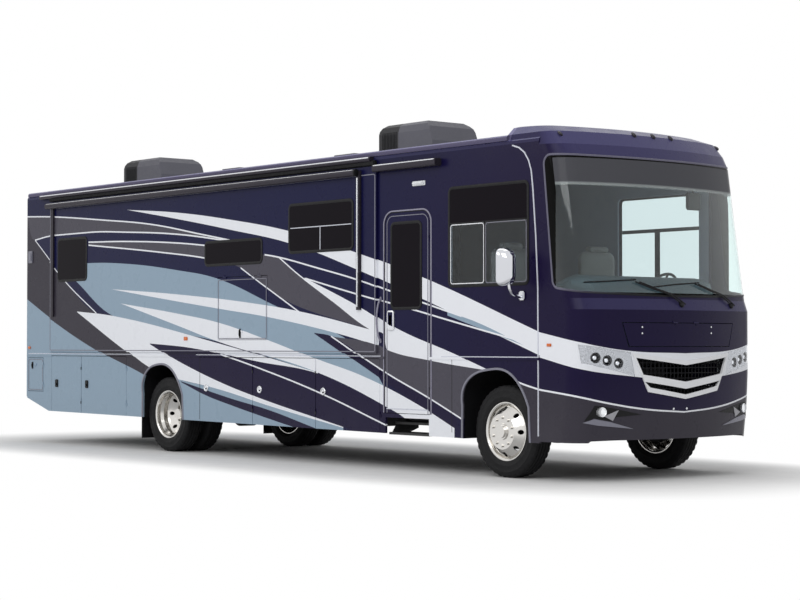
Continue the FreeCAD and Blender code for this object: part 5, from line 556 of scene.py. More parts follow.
def place(name, builder, slot, body="coach", finish=None, stands_for=None):
    """Makes one piece from a bmesh, with its finish (the slot's finish when none is given) and body, and
    hides the CAD node it stands for.
    """
    bmesh.ops.recalc_face_normals(builder, faces=builder.faces)
    mesh = bpy.data.meshes.new(name)
    builder.to_mesh(mesh)
    builder.free()
    mesh.materials.append(FINISHES[finish or slot])
    mesh.polygons.foreach_set("use_smooth", [True] * len(mesh.polygons))
    mesh.set_sharp_from_angle(angle=math.radians(SHARP_ANGLE))
    piece = bpy.data.objects.new(name, mesh)
    bpy.context.scene.collection.objects.link(piece)
    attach(piece, body)
    if stands_for:
        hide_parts(stands_for)
    return piece


def bridge(builder, rows, ends=(), closed=False):
    """Skins between rings of equally many points, and closes the rings that ends names."""
    made = [[builder.verts.new(point) for point in row] for row in rows]
    pairs = list(zip(made[:-1], made[1:]))
    if closed:
        pairs.append((made[-1], made[0]))
    for first, second in pairs:
        for index in range(len(first)):
            after = (index + 1) % len(first)
            builder.faces.new((first[index], first[after], second[after], second[index]))
    for end in ends:
        builder.faces.new(made[end])


def rounded_loop(low, high, radius, steps=5):
    """Points of a rounded rectangle in two axes, as (a, b) pairs."""
    points = []
    centres = ((high[0] - radius, high[1] - radius, 0), (low[0] + radius, high[1] - radius, 90),
               (low[0] + radius, low[1] + radius, 180), (high[0] - radius, low[1] + radius, 270))
    for a, b, start in centres:
        for step in range(steps + 1):
            turn = math.radians(start + 90 * step / steps)
            points.append((a + radius * math.cos(turn), b + radius * math.sin(turn)))
    return points


def inset_loop(low, high, inset, radius, steps=5):
    return rounded_loop((low[0] + inset, low[1] + inset), (high[0] - inset, high[1] - inset), radius, steps)


def side_frame(builder, low, high, radius, profile, side, face):
    """A closed moulding round a window on a side wall; profile is (inset, rise) pairs from the outside in."""
    rows = []
    for inset, rise in profile:
        loop = inset_loop(low, high, inset, max(radius - inset, 0.004))
        rows.append([Vector((x, side * (face + rise), z)) for x, z in loop])
    bridge(builder, rows, closed=True)


def block(builder, low, high, bevel):
    """A box with softened edges."""
    centre = (Vector(low) + Vector(high)) / 2
    size = Vector(high) - Vector(low)
    made = bmesh.ops.create_cube(builder, size=1.0)["verts"]
    for vert in made:
        vert.co = Vector(part * length for part, length in zip(vert.co, size)) + centre
    edges = list({edge for vert in made for edge in vert.link_edges})
    bmesh.ops.bevel(builder, geom=edges, offset=min(bevel, min(size) * 0.45), segments=2, affect="EDGES")


def wall_block(builder, x0, x1, z0, z1, outer, inner, bevel, face=HALF_WIDTH, side=-1):
    """A softened box on a side wall, which reaches from inner to outer past the wall's face."""
    low_y, high_y = sorted((side * (face + inner), side * (face + outer)))
    block(builder, (x0, low_y, z0), (x1, high_y, z1), bevel)


def square_to(axis):
    """A level direction square to an axis, or one square to X for an upright axis."""
    across = axis.cross(Vector((0, 0, 1)))
    if across.length < 0.1:
        across = axis.cross(Vector((1, 0, 0)))
    return across.normalized()


def ring(centre, across, up, reaches):
    """Points round a centre in even steps, one for each reach."""
    turns = [2 * math.pi * step / len(reaches) for step in range(len(reaches))]
    return [centre + (across * math.cos(turn) + up * math.sin(turn)) * reach
            for turn, reach in zip(turns, reaches)]


def shares(steps):
    return [step / steps for step in range(steps + 1)]


def pipe(builder, points, radius, sides=10):
    """A round bar along a polyline, closed at both ends."""
    points = [Vector(point) for point in points]
    rows = []
    for index, point in enumerate(points):
        back = points[max(index - 1, 0)]
        ahead = points[min(index + 1, len(points) - 1)]
        along = (ahead - back).normalized()
        across = square_to(along)
        rows.append(ring(point, across, across.cross(along), [radius] * sides))
    bridge(builder, rows, (0, -1))


def turned(builder, centre, axis, profile, segments, ends=(-1,), closed=False, notch=None):
    """A profile of (radius, along) pairs turned about an axis; notch may lower single points."""
    axis = Vector(axis).normalized()
    across = square_to(axis)
    rows = []
    for order, (radius, along) in enumerate(profile):
        reaches = [radius - (notch(order, step) if notch else 0) for step in range(segments)]
        rows.append(ring(Vector(centre) + axis * along, across, axis.cross(across), reaches))
    bridge(builder, rows, ends, closed)


def mesh_of(cad_name, weld=True):
    """A CAD node's mesh to read from, with its corners joined."""
    builder = bmesh.new()
    builder.from_mesh(CAD_NODES[cad_name].data)
    if weld:
        bmesh.ops.remove_doubles(builder, verts=builder.verts, dist=WELD)
    return builder


def solids(cad_name):
    """Lowest and highest corner of each separate solid of a CAD node."""
    builder = mesh_of(cad_name)
    left = set(builder.verts)
    found = []
    while left:
        group = [left.pop()]
        for vert in group:
            for edge in vert.link_edges:
                other = edge.other_vert(vert)
                if other in left:
                    left.remove(other)
                    group.append(other)
        low = Vector(min(vert.co[axis] for vert in group) for axis in range(3))
        high = Vector(max(vert.co[axis] for vert in group) for axis in range(3))
        found.append((low, high))
    builder.free()
    return sorted(found, key=lambda pair: (round(pair[0].x, 3), pair[0].y))


def ribbon(builder, points, half, rise, side, face, closed):
    """A raised strip on a side wall that follows a line of (x, z) points."""
    line = [Vector((x, z)) for x, z in points]
    count = len(line)
    rows = []
    for index, point in enumerate(line):
        back = line[index - 1] if closed or index else line[0]
        ahead = line[(index + 1) % count] if closed or index + 1 < count else line[-1]
        first = (point - back).normalized() if (point - back).length else (ahead - point).normalized()
        second = (ahead - point).normalized() if (ahead - point).length else first
        along = (first + second).normalized()
        stretch = 1 / max(along.dot(first), 0.35)
        out = Vector((-along.y, along.x)) * half * stretch
        row = []
        for offset, lift in ((-1.0, -0.001), (-0.75, rise), (0.75, rise), (1.0, -0.001)):
            spot = point + out * offset
            row.append(Vector((spot.x, side * (face + lift), spot.y)))
        rows.append(row)
    bridge(builder, rows, () if closed else (0, -1), closed)


def strip(name, points, half, rise, finish, body="coach", slot="body_paint", side=-1, face=HALF_WIDTH,
          closed=False):
    builder = bmesh.new()
    ribbon(builder, points, half, rise, side, face, closed)
    place(name, builder, slot, body, finish)


def arc(centre, radius, start, stop, steps=8):
    """Points round part of a circle in (x, z), angles in degrees."""
    turns = [math.radians(start + (stop - start) * share) for share in shares(steps)]
    return [(centre[0] + radius * math.cos(turn), centre[1] + radius * math.sin(turn)) for turn in turns]


def border(builder, outer, skipped=None):
    """The edges round a set of faces, by corner."""
    links = {}
    for edge in builder.edges:
        if skipped and skipped([vert.co for vert in edge.verts]):
            continue
        if sum(1 for flat in edge.link_faces if flat in outer) == 1:
            for vert in edge.verts:
                links.setdefault(vert, []).append(edge)
    return links


def walk(links, start):
    """Places in order along linked edges, to the end or once round."""
    line, spot, last = [], start, None
    while spot is not None:
        line.append(spot.co.copy())
        ahead = next((edge for edge in links[spot] if edge is not last), None)
        spot, last = (ahead.other_vert(spot) if ahead else None), ahead
        if spot is start or len(line) > len(links):
            spot = None
    return line


# Tyres with grooved treads

TYRE_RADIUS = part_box("front_tyre_left")[1].z / 2
TREAD_HALF = 0.0909
GROOVE_DEPTH = 0.012
GROOVE_HALF = 0.0045
GROOVE_FLOOR_SHARE = 0.7
GROOVES = (-0.062, -0.021, 0.021, 0.062)
LUG_DEPTH = 0.009
LUG_STEPS = 3
TYRE_SEGMENTS = 120
SIDEWALL = ((0.2862, 0.094), (0.2985, 0.0965), (0.310, 0.1045), (0.318, 0.1090), (0.322, 0.1105),
            (0.345, 0.1165), (0.349, 0.1182), (0.356, 0.1182), (0.360, 0.1172), (0.385, 0.1175),
            (0.405, 0.1168), (0.408, 0.1176), (0.413, 0.1176), (0.416, 0.1155), (0.436, 0.1115),
            (0.4500, 0.1060), (0.4585, 0.1005), (0.4640, 0.0965))
TYRES = (("front_tyre_left", "left_front_wheel"), ("front_tyre_right", "right_front_wheel"),
         ("rear_tyres_left", "left_rear_wheels"), ("rear_tyres_right", "right_rear_wheels"))


def tyre_outline():
    """The line across the tyre from one bead over the tread to the other."""
    across = []
    for middle in GROOVES:
        floor = TYRE_RADIUS - GROOVE_DEPTH
        across += [(TYRE_RADIUS, middle - GROOVE_HALF), (floor, middle - GROOVE_HALF * GROOVE_FLOOR_SHARE),
                   (floor, middle + GROOVE_HALF * GROOVE_FLOOR_SHARE), (TYRE_RADIUS, middle + GROOVE_HALF)]
    near = [(radius, -along) for radius, along in SIDEWALL]
    far = list(reversed(SIDEWALL))
    return near + [(TYRE_RADIUS, -TREAD_HALF)] + across + [(TYRE_RADIUS, TREAD_HALF)] + far


TYRE_OUTLINE = tyre_outline()


def tyre_notch(order, step):
    """How far a point sinks for the shoulder lugs."""
    edge = min(order, len(TYRE_OUTLINE) - 1 - order)
    on_shoulder = len(SIDEWALL) - 3 <= edge <= len(SIDEWALL)
    return LUG_DEPTH if on_shoulder and step % LUG_STEPS == 0 else 0


for cad_name, body in TYRES:
    builder = bmesh.new()
    for low, high in solids(cad_name):
        turned(builder, (low + high) / 2, (0, 1, 0), TYRE_OUTLINE, TYRE_SEGMENTS, (), True, tyre_notch)
    place("tread_" + cad_name, builder, "tyre_rubber", body, stands_for=cad_name)


# Window mouldings: (inset, rise) pairs across the moulding, and the panes with their bodies

MOULDING = ((-0.012, 0.0), (-0.012, 0.004), (-0.008, 0.0065), (0.016, 0.0065), (0.020, 0.004), (0.020, 0.0))
MOULDING_LIFT = 0.0002
PANE_CORNER = 0.055
PANE_NODES = (("side_windows", "coach", HALF_WIDTH), ("slide_windows", "slide_out", SLIDE_FACE),
              ("entry_door_window", "side_door", HALF_WIDTH))
PANES = [(low, high, body, face) for cad_name, body, face in PANE_NODES for low, high in solids(cad_name)]

for order, (low, high, body, face) in enumerate(PANES):
    builder = bmesh.new()
    side_frame(builder, (low.x, low.z), (high.x, high.z), PANE_CORNER, MOULDING, 1 if low.y > 0 else -1,
               face + MOULDING_LIFT)
    place("window_frame_%d" % (order + 1), builder, "matte_black", body, "black_trim")


# Body mouldings

BELT_ENDS = ((REAR_X + 0.12, -2.72), (3.40, 4.86))
BELT_MIDDLES = {"right": (-1.22, 2.39), "left": (-1.22, 3.40)}
ARCHES = (("rear", (-2.80, 0.36), (-1.20, 1.35)), ("front", (3.72, 0.36), (4.86, 1.35)))
CAP_LINE = ((4.872, 0.44), (4.872, 1.02), (4.868, 1.90), (4.840, 2.43), (4.800, 2.90), (4.776, 3.08),
            (4.74, 3.18), (4.68, 3.265), (4.60, 3.32), (4.50, 3.35))
PANEL_SEAMS = ((-1.1385, "middle"), (3.57, "front"))
SEAM_FOOT, SEAM_HEAD = 0.435, 1.190
SIDEWAYS = 0.98
FACE_NEAR = 0.004
SILL_RISE = 0.12
SILL_SLOPE = 0.3


def arch_rim(side, side_name, low, high):
    """The wheel arch's edge on the wall's outer face inside an (x, z) window, without the sill's edge."""
    def skipped(ends):
        across, rise = abs(ends[0].x - ends[1].x), abs(ends[0].z - ends[1].z)
        beyond = any(not (low[0] <= end.x <= high[0] and low[1] <= end.z <= high[1]) for end in ends)
        return beyond or (max(end.z for end in ends) < low[1] + SILL_RISE and rise < SILL_SLOPE * across)

    builder = mesh_of("side_wall_" + side_name)
    outer = {flat for flat in builder.faces if flat.normal.y * side > SIDEWAYS
             and abs(flat.calc_center_median().y * side - HALF_WIDTH) < FACE_NEAR}
    links = border(builder, outer, skipped)
    start = next((vert for vert, edges in links.items() if len(edges) == 1), None)
    line = [(spot.x, spot.z) for spot in walk(links, start)]
    builder.free()
    return line


for side, side_name in SIDES:
    spans = (BELT_ENDS[0], BELT_MIDDLES[side_name], BELT_ENDS[1])
    for order, (start, stop) in enumerate(spans):
        # The belt trims are painted light for the highlight along the belt moulding's edge
        strip("belt_trim_%s_%d" % (side_name, order + 1), ((start, BELT), (stop, BELT)), 0.011, 0.004,
              "white_trim", side=side)
    strip("cap_moulding_" + side_name, CAP_LINE, 0.008, 0.006, "white_trim", side=side)
    for arch_name, low, high in ARCHES:
        line = arch_rim(side, side_name, low, high)
        if len(line) > 3:
            strip("arch_lip_%s_%s" % (arch_name, side_name), line, 0.013, 0.008, "lip_trim", side=side)
    for x, seam_name in PANEL_SEAMS:
        strip("panel_seam_%s_%s" % (seam_name, side_name), ((x, SEAM_FOOT), (x, SEAM_HEAD)), 0.004, 0.0008,
              "black_trim", side=side)

SEAL_BLOCK = (3.302, 3.360, 0.048, -0.001, 0.012)
SEAL_LINE = (-HALF_WIDTH - 0.046, 3.312)
builder = bmesh.new()
wall_block(builder, SLIDE_LOW.x + 0.01, SLIDE_HIGH.x - 0.01, *SEAL_BLOCK)
pipe(builder, ((SLIDE_LOW.x + 0.02, *SEAL_LINE), (SLIDE_HIGH.x - 0.02, *SEAL_LINE)), 0.006)
place("slide_top_seal", builder, "matte_black", finish="seal_rubber")


# Lines round the doors and lids: name, points, half width, rise, finish, body, slot, side, face and closed

DOOR_LOW, DOOR_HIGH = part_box("entry_door")
DOOR_CORNER = 0.12
DOOR_SEAM = 0.006
HATCH_LOW, HATCH_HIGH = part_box("rear_hatch")
SCREEN_LOW, SCREEN_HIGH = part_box("screen_door")
CAB_BAR = ((3.552, 2.605), (4.708, 2.605))
CAB_POST = ((4.085, 1.975), (4.085, 2.605))


def door_line(out):
    """Up one side of the entry door, round two corners and down the other side."""
    left, right = DOOR_LOW.x + DOOR_SEAM - out, DOOR_HIGH.x - DOOR_SEAM + out
    top = DOOR_HIGH.z - DOOR_SEAM + out
    radius = DOOR_CORNER + out
    return ([(left, DOOR_LOW.z)] + arc((left + radius, top - radius), radius, 180, 90)
            + arc((right - radius, top - radius), radius, 90, 0) + [(right, DOOR_LOW.z)])


LINES = (
    ("slide_edge_trim", rounded_loop((SLIDE_LOW.x + 0.02, SLIDE_LOW.z + 0.02),
                                     (SLIDE_HIGH.x - 0.02, SLIDE_HIGH.z - 0.09), 0.02),
     0.006, 0.003, "lip_trim", "slide_out", "body_paint", -1, SLIDE_FACE, True),
    ("door_frame_outer", door_line(0.024), 0.009, 0.006, "door_trim"),
    ("door_frame_dark", door_line(0.010), 0.005, 0.004, "black_trim", "coach", "matte_black"),
    ("door_inner_line", door_line(-0.030), 0.005, 0.003, "lip_trim", "side_door"),
    ("door_sill_line", ((DOOR_LOW.x + 0.03, 0.655), (DOOR_HIGH.x - 0.03, 0.655)), 0.006, 0.004, "white_trim",
     "side_door"),
    ("hatch_rim", rounded_loop((HATCH_LOW.x + 0.018, HATCH_LOW.z + 0.018),
                               (HATCH_LOW.x + 0.407, HATCH_HIGH.z - 0.018), 0.02),
     0.005, 0.004, "lip_trim", "hatch_panel", "body_paint", -1, HALF_WIDTH, True),
    ("screen_rim", rounded_loop((SCREEN_LOW.x + 0.012, SCREEN_LOW.z + 0.012),
                                (SCREEN_HIGH.x - 0.012, SCREEN_HIGH.z - 0.04), 0.01),
     0.005, 0.004, "lip_trim", "screen_lid", "body_paint", -1, SLIDE_FACE, True),
    ("slide_window_bar", ((0.775, 2.683), (1.91, 2.683)), 0.006, 0.006, "white_trim", "slide_out",
     "matte_black", -1, SLIDE_FACE),
    ("slide_window_post", ((1.34, 2.42), (1.34, 2.683)), 0.006, 0.006, "white_trim", "slide_out",
     "matte_black", -1, SLIDE_FACE),
    ("cab_window_bar_right", CAB_BAR, 0.008, 0.006, "black_trim", "coach", "matte_black"),
    ("cab_window_post_right", CAB_POST, 0.008, 0.006, "black_trim", "coach", "matte_black"),
    ("cab_window_bar_left", CAB_BAR, 0.020, 0.006, "black_trim", "coach", "matte_black", 1),
    ("cab_window_post_left", CAB_POST, 0.040, 0.006, "black_trim", "coach", "matte_black", 1),
    ("cab_pane_edge", rounded_loop((3.556, 1.978), (4.070, 2.590), 0.03), 0.006, 0.005, "bright_trim",
     "coach", "mirror_chrome", -1, HALF_WIDTH, True),
    ("cab_slider_edge", rounded_loop((4.100, 1.978), (4.704, 2.590), 0.03), 0.005, 0.005, "lip_trim",
     "coach", "matte_black", -1, HALF_WIDTH, True),
)
for row in LINES:
    strip(*row)


# Small parts on the door side: name, slot, body, finish and wall face, then for each block its
# rear, front, foot and head, how far its outer and inner sides stand past the face, and its bevel

SMALL_PARTS = (
    ("slide_marker", "amber_lens", "slide_out", None, SLIDE_FACE,
     ((-1.452, -1.369, 1.396, 1.442, 0.0095, -0.001, 0.006),
      (-1.440, -1.381, 1.406, 1.432, 0.0125, 0.004, 0.004))),
    ("door_handle_cup", "matte_black", "side_door", "black_trim", HALF_WIDTH,
     ((2.530, 2.620, 1.515, 1.700, 0.006, -0.002, 0.004),)),
    ("porch_lamp", "lamp_lens", "coach", "white_lens", HALF_WIDTH,
     ((2.950, 3.130, 3.044, 3.078, 0.034, -0.001, 0.012),
      (2.935, 3.145, 3.036, 3.086, 0.008, -0.001, 0.006))),
    ("hatch_lock", "matte_black", "hatch_panel", "black_trim", HALF_WIDTH,
     ((-5.338, -5.300, 1.01, 1.105, 0.012, -0.001, 0.006),
      (-5.330, -5.308, 1.035, 1.080, 0.020, 0.008, 0.004))),
    ("screen_handle", "matte_black", "screen_lid", "black_trim", SLIDE_FACE,
     ((-0.252, -0.222, 1.425, 1.535, 0.010, -0.001, 0.004),
      (-0.245, -0.229, 1.445, 1.520, 0.022, 0.006, 0.004))),
    ("inlet_cover", "mirror_chrome", "coach", "lip_trim", HALF_WIDTH,
     ((-5.440, -5.325, 2.48, 2.65, 0.016, -0.001, 0.010),
      (-5.422, -5.343, 2.51, 2.62, 0.024, 0.010, 0.010))),
    ("rear_side_reflector", "amber_lens", "coach", None, HALF_WIDTH,
     ((-5.440, -5.370, 1.285, 1.322, 0.014, -0.001, 0.008),)),
)
for name, slot, body, finish, face, rows in SMALL_PARTS:
    builder = bmesh.new()
    for row in rows:
        wall_block(builder, *row, face)
    place(name, builder, slot, body, finish)

RIM_SECTION = ((0.0, -0.002), (0.0, 0.016), (0.006, 0.020), (0.018, 0.020), (0.022, 0.014), (0.022, -0.002))
RIM_CORNERS = ((2.515, 1.50), (2.634, 1.715))
RIM_RADIUS = 0.03
PADDLE = (2.545, 2.604, 1.545, 1.672, 0.018, -0.002, 0.008)
builder = bmesh.new()
side_frame(builder, *RIM_CORNERS, RIM_RADIUS, RIM_SECTION, -1, HALF_WIDTH)
wall_block(builder, *PADDLE)
place("door_handle", builder, "mirror_chrome", "side_door", "bright_trim")

HANDLE_LOW, HANDLE_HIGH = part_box("grab_handle")
HANDLE_X = 2.400
HANDLE_INSET = 0.012
HANDLE_STEPS = 20
HANDLE_BEND = 0.6
HANDLE_FOOT_HALF = (0.014, 0.024)
HANDLE_RADIUS = 0.0105
HANDLE_ROOT = -HALF_WIDTH - 0.010
HANDLE_REACH = HANDLE_LOW.y + HANDLE_INSET


def grab_bar_path():
    """A bar that leaves the wall, runs straight and comes back to it."""
    path = []
    for share in shares(HANDLE_STEPS):
        bow = math.sin(math.pi * share) ** HANDLE_BEND
        z = HANDLE_LOW.z + HANDLE_INSET + (HANDLE_HIGH.z - HANDLE_LOW.z - 2 * HANDLE_INSET) * share
        path.append((HANDLE_X, HANDLE_ROOT + (HANDLE_REACH - HANDLE_ROOT) * bow, z))
    return path


builder = bmesh.new()
half_x, half_z = HANDLE_FOOT_HALF
for z in (HANDLE_LOW.z + HANDLE_INSET, HANDLE_HIGH.z - HANDLE_INSET):
    wall_block(builder, HANDLE_X - half_x, HANDLE_X + half_x, z - half_z, z + half_z, 0.014, -0.001, 0.006)
pipe(builder, grab_bar_path(), HANDLE_RADIUS, 12)
place("grab_bar", builder, "mirror_chrome", finish="door_trim", stands_for="grab_handle")


# Latches of the storage doors

LATCH_HEIGHT = 0.818
LATCH_BEHIND = 0.145
BRIGHT_FROM = -1.5
LATCH_PLATE = ((0.044, -0.002), (0.044, 0.012), (0.040, 0.016), (0.032, 0.016), (0.028, 0.009),
               (0.001, 0.009))


def latch(builder, x, side, bright):
    """A paddle latch in a round plate, or a plain rounded one."""
    z = LATCH_HEIGHT
    if bright:
        turned(builder, (x, side * HALF_WIDTH, z), (0, side, 0), LATCH_PLATE, 24)
        wall_block(builder, x - 0.020, x + 0.020, z - 0.004, z + 0.020, 0.015, 0.006, 0.004, side=side)
    else:
        wall_block(builder, x - 0.036, x + 0.036, z - 0.052, z + 0.052, 0.015, -0.001, 0.014, side=side)
        wall_block(builder, x - 0.018, x + 0.018, z - 0.030, z + 0.004, 0.024, 0.010, 0.005, side=side)


for cad_name in sorted(name for name in CAD_NODES if name.startswith("bay_door_")):
    low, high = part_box(cad_name)
    bright = low.x > BRIGHT_FROM
    builder = bmesh.new()
    latch(builder, low.x + LATCH_BEHIND, 1 if low.y > 0 else -1, bright)
    place(cad_name.replace("bay_door", "latch"), builder, "mirror_chrome" if bright else "matte_black",
          cad_name.replace("bay_door", "bay"), "bright_trim" if bright else "black_trim")


# Awnings and steps: painted highlights as bright bars with start, end, radius and sides, end collars and end
# blocks

AWNING_LOW, AWNING_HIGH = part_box("slide_awning")
COLLAR = ((0.030, 0.0), (0.0395, 0.004), (0.0395, 0.030), (0.030, 0.034))
COLLAR_SPOT = (-1.361, 3.238)
END_BLOCKS = (2.356, 3.361)
END_LOW, END_HIGH = (-1.376, 3.224), (-1.285, 3.300)
END_LENGTH = 0.040
PAINTED_HIGHLIGHT_BARS = (
    ("awning_highlights", "slide_out", (
        ((AWNING_LOW.x + 0.03, -1.384, 3.262), (AWNING_HIGH.x - 0.06, -1.384, 3.262), 0.0085, 10),
        ((AWNING_HIGH.x - 0.022, -1.352, 1.76), (AWNING_HIGH.x - 0.022, -1.352, 3.18), 0.009, 10))),
    ("rail_highlights", "coach", (((-5.02, -1.343, 3.388), (2.25, -1.343, 3.388), 0.0085, 10),
                                  ((2.372, -1.369, 3.289), (3.385, -1.369, 3.289), 0.0085, 10))),
    ("step_edges", "step_unit", (((2.515, -1.2565, 0.398), (3.162, -1.2565, 0.398), 0.004, 8),
                                 ((2.515, -1.166, 0.508), (3.162, -1.166, 0.508), 0.004, 8))),
)
for name, body, rows in PAINTED_HIGHLIGHT_BARS:
    builder = bmesh.new()
    for start, end, radius, sides in rows:
        pipe(builder, (start, end), radius, sides)
    place(name, builder, "aluminium_tube", body, "bright_trim")
builder = bmesh.new()
for x in (AWNING_LOW.x + 0.02, AWNING_HIGH.x - 0.055):
    turned(builder, (x, *COLLAR_SPOT), (1, 0, 0), COLLAR, 24, (0, -1))
place("awning_end_collars", builder, "awning_black", "slide_out", "black_trim")
builder = bmesh.new()
for x in END_BLOCKS:
    block(builder, (x, *END_LOW), (x + END_LENGTH, *END_HIGH), 0.008)
place("door_awning_ends", builder, "awning_black", finish="black_trim")


# Nose

LOOK_FROM = 8.0
PATCH_STEP = 0.05
PATCH_UNDER = 0.004
GLASS_CENTRE_X = 3.5
OUTWARD = 0.5


def skin(cad_name):
    builder = mesh_of(cad_name, weld=False)
    tree = BVHTree.FromBMesh(builder)
    builder.free()
    return tree


NOSE_SKIN = skin("front_cap")
GLASS_SKIN = skin("windshield")
HOOD_SKIN = skin("front_hood")


def nose_at(y, z, rise=0.0, tree=NOSE_SKIN):
    """The place on the nose seen from straight ahead, lifted along its normal."""
    spot, normal, _, _ = tree.ray_cast(Vector((LOOK_FROM, y, z)), Vector((-1, 0, 0)))
    return spot + normal * rise, normal


def nose_patch(builder, points, rise):
    """A thin raised panel on the nose, from (y, z) corners."""
    flat = bmesh.new()
    flat.faces.new([flat.verts.new((0, y, z)) for y, z in points])
    low = min(y for y, z in points)
    high = max(y for y, z in points)
    cuts = max(int((high - low) / PATCH_STEP), 1)
    for step in range(1, cuts):
        geometry = list(flat.verts) + list(flat.edges) + list(flat.faces)
        bmesh.ops.bisect_plane(flat, geom=geometry, plane_co=(0, low + (high - low) * step / cuts, 0),
                               plane_no=(0, 1, 0))
    corners = {}
    for vert in flat.verts:
        top, normal = nose_at(vert.co.y, vert.co.z, rise)
        corners[vert] = (builder.verts.new(top), builder.verts.new(top - normal * (rise + PATCH_UNDER)))
    for panel in flat.faces:
        builder.faces.new([corners[vert][0] for vert in panel.verts])
        builder.faces.new([corners[vert][1] for vert in reversed(panel.verts)])
    for edge in flat.edges:
        if len(edge.link_faces) == 1:
            one, two = edge.verts
            builder.faces.new((corners[one][0], corners[two][0], corners[two][1], corners[one][1]))
    flat.free()


def away_from_cab(spot):
    return Vector((spot.x - GLASS_CENTRE_X, spot.y, 0)).normalized()


def pane_rim():
    """The edge line of the windshield's outer face, as a closed loop."""
    builder = mesh_of("windshield")
    outer = {flat for flat in builder.faces
             if flat.normal.dot(away_from_cab(flat.calc_center_median())) > OUTWARD}
    links = border(builder, outer)
    line = walk(links, next(iter(links)))
    builder.free()
    return line


MOULDING_HALF = 0.011
MOULDING_BASE, MOULDING_RISE = 0.002, 0.006
MOULDING_TURNS = (0.0, 0.785, 1.571, 2.356, 3.142, 4.712)
builder = bmesh.new()
rim = pane_rim()
rows = []
for index, point in enumerate(rim):
    along = (rim[(index + 1) % len(rim)] - rim[index - 1]).normalized()
    away = away_from_cab(point)
    across = along.cross(away).normalized()
    rows.append([point + across * MOULDING_HALF * math.cos(turn)
                 + away * (MOULDING_BASE + MOULDING_RISE * math.sin(turn)) for turn in MOULDING_TURNS])
bridge(builder, rows, closed=True)
place("windshield_moulding", builder, "matte_black", finish="pane_moulding")

# Raised panels round the fog lamps: name, slot, finish, rise and (y, z) corners on the right
FOG_PANELS = (
    ("fog_recess", "matte_black", "black_trim", 0.004,
     ((-1.19, 0.600), (-1.105, 0.752), (-1.06, 0.752), (-0.90, 0.724), (-0.57, 0.660), (-0.86, 0.640),
      (-0.93, 0.602), (-1.10, 0.632))),
    ("fog_sill", "body_paint", "lip_trim", 0.006,
     ((-1.20, 0.586), (-1.10, 0.624), (-0.93, 0.594), (-0.65, 0.520), (-1.06, 0.560))),
    ("fog_wing", "body_paint", "lamp_facet", 0.009, ((-1.00, 0.650), (-0.845, 0.708), (-0.90, 0.604))),
)
for name, slot, finish, rise, corners in FOG_PANELS:
    builder = bmesh.new()
    nose_patch(builder, corners, rise)
    nose_patch(builder, [(-y, z) for y, z in reversed(corners)], rise)
    place(name, builder, slot, finish=finish)


# Lamps: places as distance from the middle and height, and turned profiles as (radius, along)

LAMP_SPOTS = ((1.10, 1.218), (0.975, 1.192), (0.85, 1.164))
LAMP_SINK = 0.012
LAMP_RIM = ((0.050, -0.030), (0.050, 0.0), (0.046, 0.003), (0.041, 0.0), (0.034, -0.022), (0.026, -0.028))
LAMP_BULB = ((0.027, -0.030), (0.026, -0.016), (0.020, -0.009), (0.011, -0.005), (0.001, -0.004))
FOG_SPOT = (1.04, 0.69)
FOG_PROUD = 0.004
FOG_LAMP = ((0.047, -0.006), (0.047, 0.006), (0.041, 0.009), (0.036, 0.003), (0.018, 0.008), (0.001, 0.010))


def cap_x(y):
    """Station of the cap's round front."""
    return CAP_ARC_CENTRE + math.sqrt(CAP_ARC_RADIUS ** 2 - y * y)


def facing_lamp(builder, y, z, sink, profile, segments, ends):
    turned(builder, (cap_x(y) - sink, y, z), (1.0, y / CAP_ARC_RADIUS, 0.0), profile, segments, ends)


for side, side_name in SIDES:
    rims, bulbs, fog = bmesh.new(), bmesh.new(), bmesh.new()
    for spread, z in LAMP_SPOTS:
        facing_lamp(rims, side * spread, z, LAMP_SINK, LAMP_RIM, 28, ())
        facing_lamp(bulbs, side * spread, z, LAMP_SINK, LAMP_BULB, 24, (-1,))
    facing_lamp(fog, side * FOG_SPOT[0], FOG_SPOT[1], -FOG_PROUD, FOG_LAMP, 28, (-1,))
    place("headlamp_rims_" + side_name, rims, "lamp_reflector", finish="lamp_dark")
    place("headlamp_bulbs_" + side_name, bulbs, "lamp_lens", finish="lamp_bulb")
    place("fog_lamp_" + side_name, fog, "lamp_lens", finish="lamp_bulb")

# Bolts and studs: name, body, skin, profile and (y, z) places
STUDS = (
    ("hood_bolts", "hood_panel", HOOD_SKIN, ((0.009, -0.002), (0.009, 0.003), (0.006, 0.005), (0.001, 0.005)),
     ((-0.579, 1.519), (-0.579, 1.458), (0.405, 1.525), (0.405, 1.462))),
    ("chin_studs", "coach", NOSE_SKIN, ((0.012, -0.002), (0.012, 0.003), (0.008, 0.005), (0.001, 0.004)),
     ((-0.155, 0.708), (0.034, 0.708))),
)
for name, body, tree, profile, spots in STUDS:
    builder = bmesh.new()
    for y, z in spots:
        turned(builder, *nose_at(y, z, 0.0, tree), profile, 12)
    place(name, builder, "mirror_chrome", body, "bright_trim")


# Marker lamps: sections of the brow lamps as (along, half width, height)

BROW_SECTIONS = ((-0.040, 0.010, 0.004), (-0.028, 0.022, 0.014), (-0.006, 0.027, 0.022),
                 (0.016, 0.025, 0.024), (0.026, 0.018, 0.014), (0.030, 0.010, 0.004))
BROW_STEPS = 13
BROW_LAMP_DROP = 0.075
RED_BAR_SHARES = (0.33, 0.67)


def wedge_lamp(builder, y, z):
    """A small teardrop lamp that lies on the brow."""
    spot, normal = nose_at(y, z)
    left = Vector((0, 1, 0))
    down = left.cross(normal).normalized()
    if down.z > 0:
        down = -down
    rows = []
    for along, wide, tall in BROW_SECTIONS:
        rows.append([spot + down * along + left * wide * math.cos(math.pi * share)
                     + normal * tall * math.sin(math.pi * share) for share in shares(BROW_STEPS)])
    bridge(builder, rows, (0, -1))


